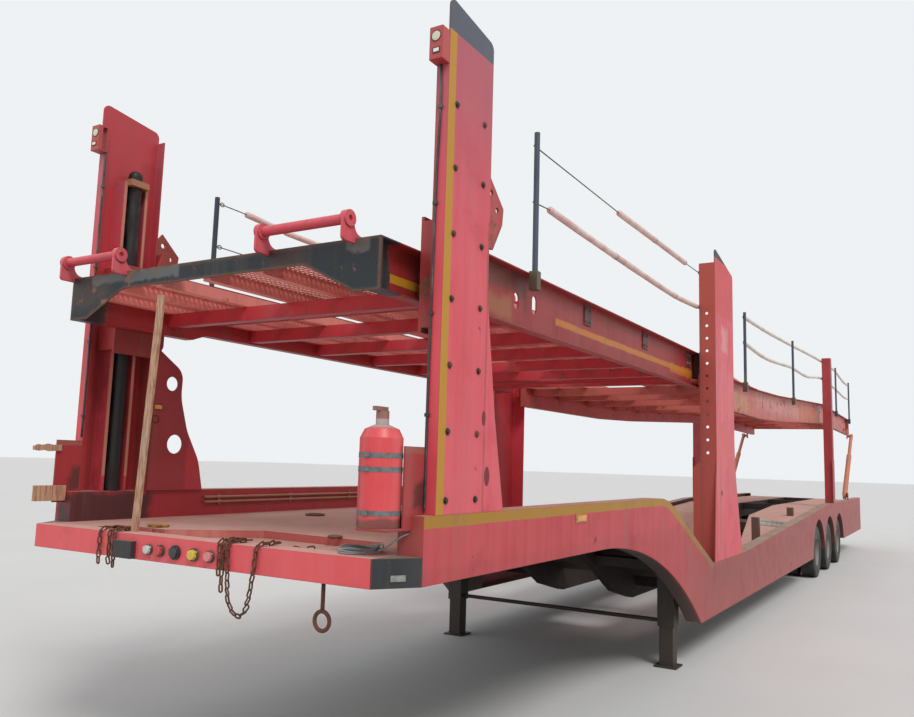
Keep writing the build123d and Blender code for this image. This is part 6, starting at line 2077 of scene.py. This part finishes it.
@dataclass
class SmallGear:
    """Bands of the extinguisher, cables down the front columns, boards on the right holder and the corner's plate."""

    bottle: Pair = (128, 1.085)
    bottle_radius: float = 0.092
    bands: tuple[float, ...] = (1.412, 1.590, 1.648)
    band_height: float = 0.022
    band_reach: float = 0.0012
    band_lip: float = 0.002
    clasp_shift: Point = (0.0015, -0.002, 0.013)
    clasp_half: Point = (0.0045, 0.014, 0.010)
    cables: tuple[tuple[Point, ...], ...] = (
        ((300.5, 1208, 3436), (300.5, 1212, 3234), (300.5, 1203, 2900), (300.5, 1199, 2400), (300.5, 1196, 1950),
         (300.5, 1198, 1430)),
        ((300.5, -1190, 3436), (300.5, -1187, 3100), (300.5, -1190, 2600), (300.5, -1187, 2100),
         (300.5, -1190, 1720)),
    )
    cable_radius: float = 0.0055
    cable_step: float = 0.06
    clip_heights: tuple[float, ...] = (3.234, 2.760, 2.290, 1.830)
    clip_half: Point = (0.00675, 0.011, 0.008)
    clip_shift: float = 0.00075
    board: Line = ((7, 1662), (9, 1640), (40, 1636), (74, 1641), (100, 1634), (172, 1640), (172, 1673), (120, 1671),
                   (92, 1676), (60, 1668), (33, 1672), (18, 1664))
    board_ys: Pair = (-1184, -1170)
    low_board: tuple[Point, Point] = ((28, -1184, 1361), (215, -1164, 1446))
    label_ends: Line = ((104, 1172.9), (158, 1208.8))
    label_zs: Pair = (1.152, 1.177)
    label_reaches: Pair = (-0.002, 0.004)

    def extinguisher_bands(self) -> Shape:
        """Bands with their clasps.

        Returns:
            Their bmesh.
        """
        shape = bmesh.new()
        station, y = self.bottle
        reach = self.bottle_radius + self.band_reach
        profile = [(reach - self.band_lip, 0), (reach, 0), (reach, self.band_height),
                   (reach - self.band_lip, self.band_height)]
        for z in self.bands:
            add_turned(shape, profile, Matrix.Translation((at(station), y, z)), 40)
            clasp = Vector((at(station) + reach, y, z)) + Vector(self.clasp_shift)
            add_block(shape, clasp, self.clasp_half, 0.001)
        return shape

    def lamp_cables(self) -> Shape:
        """Cables with their clips.

        Returns:
            Their bmesh.
        """
        shape = bmesh.new()
        for points in self.cables:
            line = smooth_line([spot(*p) for p in points], self.cable_step)
            add_tube(shape, line, self.cable_radius, 8)
            for z in self.clip_heights:
                near = min(line, key=lambda p: abs(p.z - z))
                add_block(shape, near + Vector((self.clip_shift, 0, 0)), self.clip_half, 0.0015)
        return shape

    def torn_board(self) -> Shape:
        """Board with a ragged end and the short board under it, beside the right holder.

        Returns:
            Their bmesh.
        """
        shape = bmesh.new()
        sides = [[shape.verts.new(spot(s, y, z)) for s, z in self.board] for y in self.board_ys]
        for ring in sides:
            shape.faces.new(ring)
        one, two = (ring + ring[:1] for ring in sides)
        for a, b, c, d in zip(one, one[1:], two[1:], two):
            shape.faces.new((a, b, c, d))
        (s0, y0, z0), (s1, y1, z1) = self.low_board
        add_box(shape, spot(s1, y0, z0), spot(s0, y1, z1), 0.002)
        return shape

    def corner_label(self) -> Shape:
        """Blank plate on the slanted face of the left corner.

        Returns:
            Its bmesh.
        """
        shape = bmesh.new()
        start, end = (spot(s, y, 0) for s, y in self.label_ends)
        outward = Vector((end.y - start.y, start.x - end.x, 0)).normalized()
        for z in self.label_zs:
            for base in (start, end):
                for reach in self.label_reaches:
                    shape.verts.new(base + reach * outward + Vector((0, 0, z)))
        bmesh.ops.convex_hull(shape, input=shape.verts)
        return shape

    def build(self, shop: Workshop, skins: Skins) -> None:
        """Build the small gear.

        Args:
            shop: The workshop.
            skins: Materials by name.
        """
        for name, shape, skin, slot in (
            ("extinguisher_bands", self.extinguisher_bands(), "band_grey", "extinguisher_red"),
            ("lamp_cables", self.lamp_cables(), "lamp_black", "black_rubber"),
            ("torn_board", self.torn_board(), "raw_wood", "raw_wood"),
            ("corner_label", self.corner_label(), "label_grey", "black_paint"),
        ):
            piece = from_bmesh(name, shape, skins[skin], smooth=name == "lamp_cables")
            shop.add(piece, "chassis", slot)


@dataclass
class Dressing:
    """Finishes of the CAD nodes that stay."""

    paints: tuple[tuple[str, str], ...] = (
        ("column_red", "front_columns"),
        ("frame_red", "side_frame_left side_frame_right strut_brackets"),
        ("mid_column_red", "mid_columns"),
        ("rear_red", "rear_columns rear_panel"),
        ("deck_red", "front_deck_beams"),
        ("member_red", "front_deck_members"),
        ("track_red", "front_deck_floor aft_deck_floor"),
        ("aft_deck_red", "aft_deck_beams aft_deck_members"),
        ("underside_painted_shade", "rails cross_members leg_beams"),
        ("holder_red", "bottle_holders"),
        ("floor_red", "neck_floor low_floor"),
        ("beam_red", "front_beam"),
        ("nose_black", "deck_nose"),
        ("corner_black", "beam_corners valve_box"),
        ("stop_red", "wheel_stops"),
        ("post_grey", "front_deck_posts aft_deck_posts"),
        ("extinguisher_red", "extinguisher"),
        ("leg_dark", "landing_legs"),
        ("chassis_black", "axles suspension_arms"),
        ("strut_ochre", "strut_rods strut_barrels"),
        ("stand_dark", "floor_stands"),
        ("rim_pale", "rim_1_left rim_1_right rim_2_left rim_2_right rim_3_left rim_3_right"),
        ("pipe_tan", "neck_pipes"),
        ("carriage_red", "carriages"),
        ("gear_rust", "loose_gear"),
        ("chain_rust", "chains"),
        ("greasy_steel", "kingpin"),
        ("cylinder_black", "lift_cylinders"),
        ("tyre_rubber", "tyres_1_left tyres_1_right tyres_2_left tyres_2_right tyres_3_left tyres_3_right"),
        ("black_rubber", "air_springs mud_flaps"),
        ("lens_cream", "lamps"),
        ("cap_red", "couplings"),
        ("raw_wood", "leaning_lath"),
        ("rope_grey", "rope_coil rope_line"),
        ("foam_pink", "front_deck_ropes"),
        ("foam_cream", "aft_deck_ropes"),
    )

    def build(self, shop: Workshop, skins: Skins) -> None:
        """Give every CAD node its finish.

        Args:
            shop: The workshop.
            skins: Materials by name.
        """
        done = set()
        for skin, nodes in self.paints:
            shop.paint(skins[skin], *nodes.split())
            done.update(nodes.split())
        for node in sorted(set(shop.frame["nodes"]) - done):
            LOG.warning("%s has no finish of its own", node)


def main() -> None:
    """Build the scene."""
    logging.basicConfig(level=logging.INFO, format="%(message)s")
    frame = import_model()
    Studio().build()
    skins = Finishes().build()
    shop = Workshop(frame)
    for assembly in (Rope(), Dressing(), Chains(), DeckTracks(), DeckRopes(), Wheels(), Fasteners(), SideMarkers(),
                     Lamps(), Couplings(), SmallGear()):
        assembly.build(shop, skins)


if __name__ == "__main__":
    main()
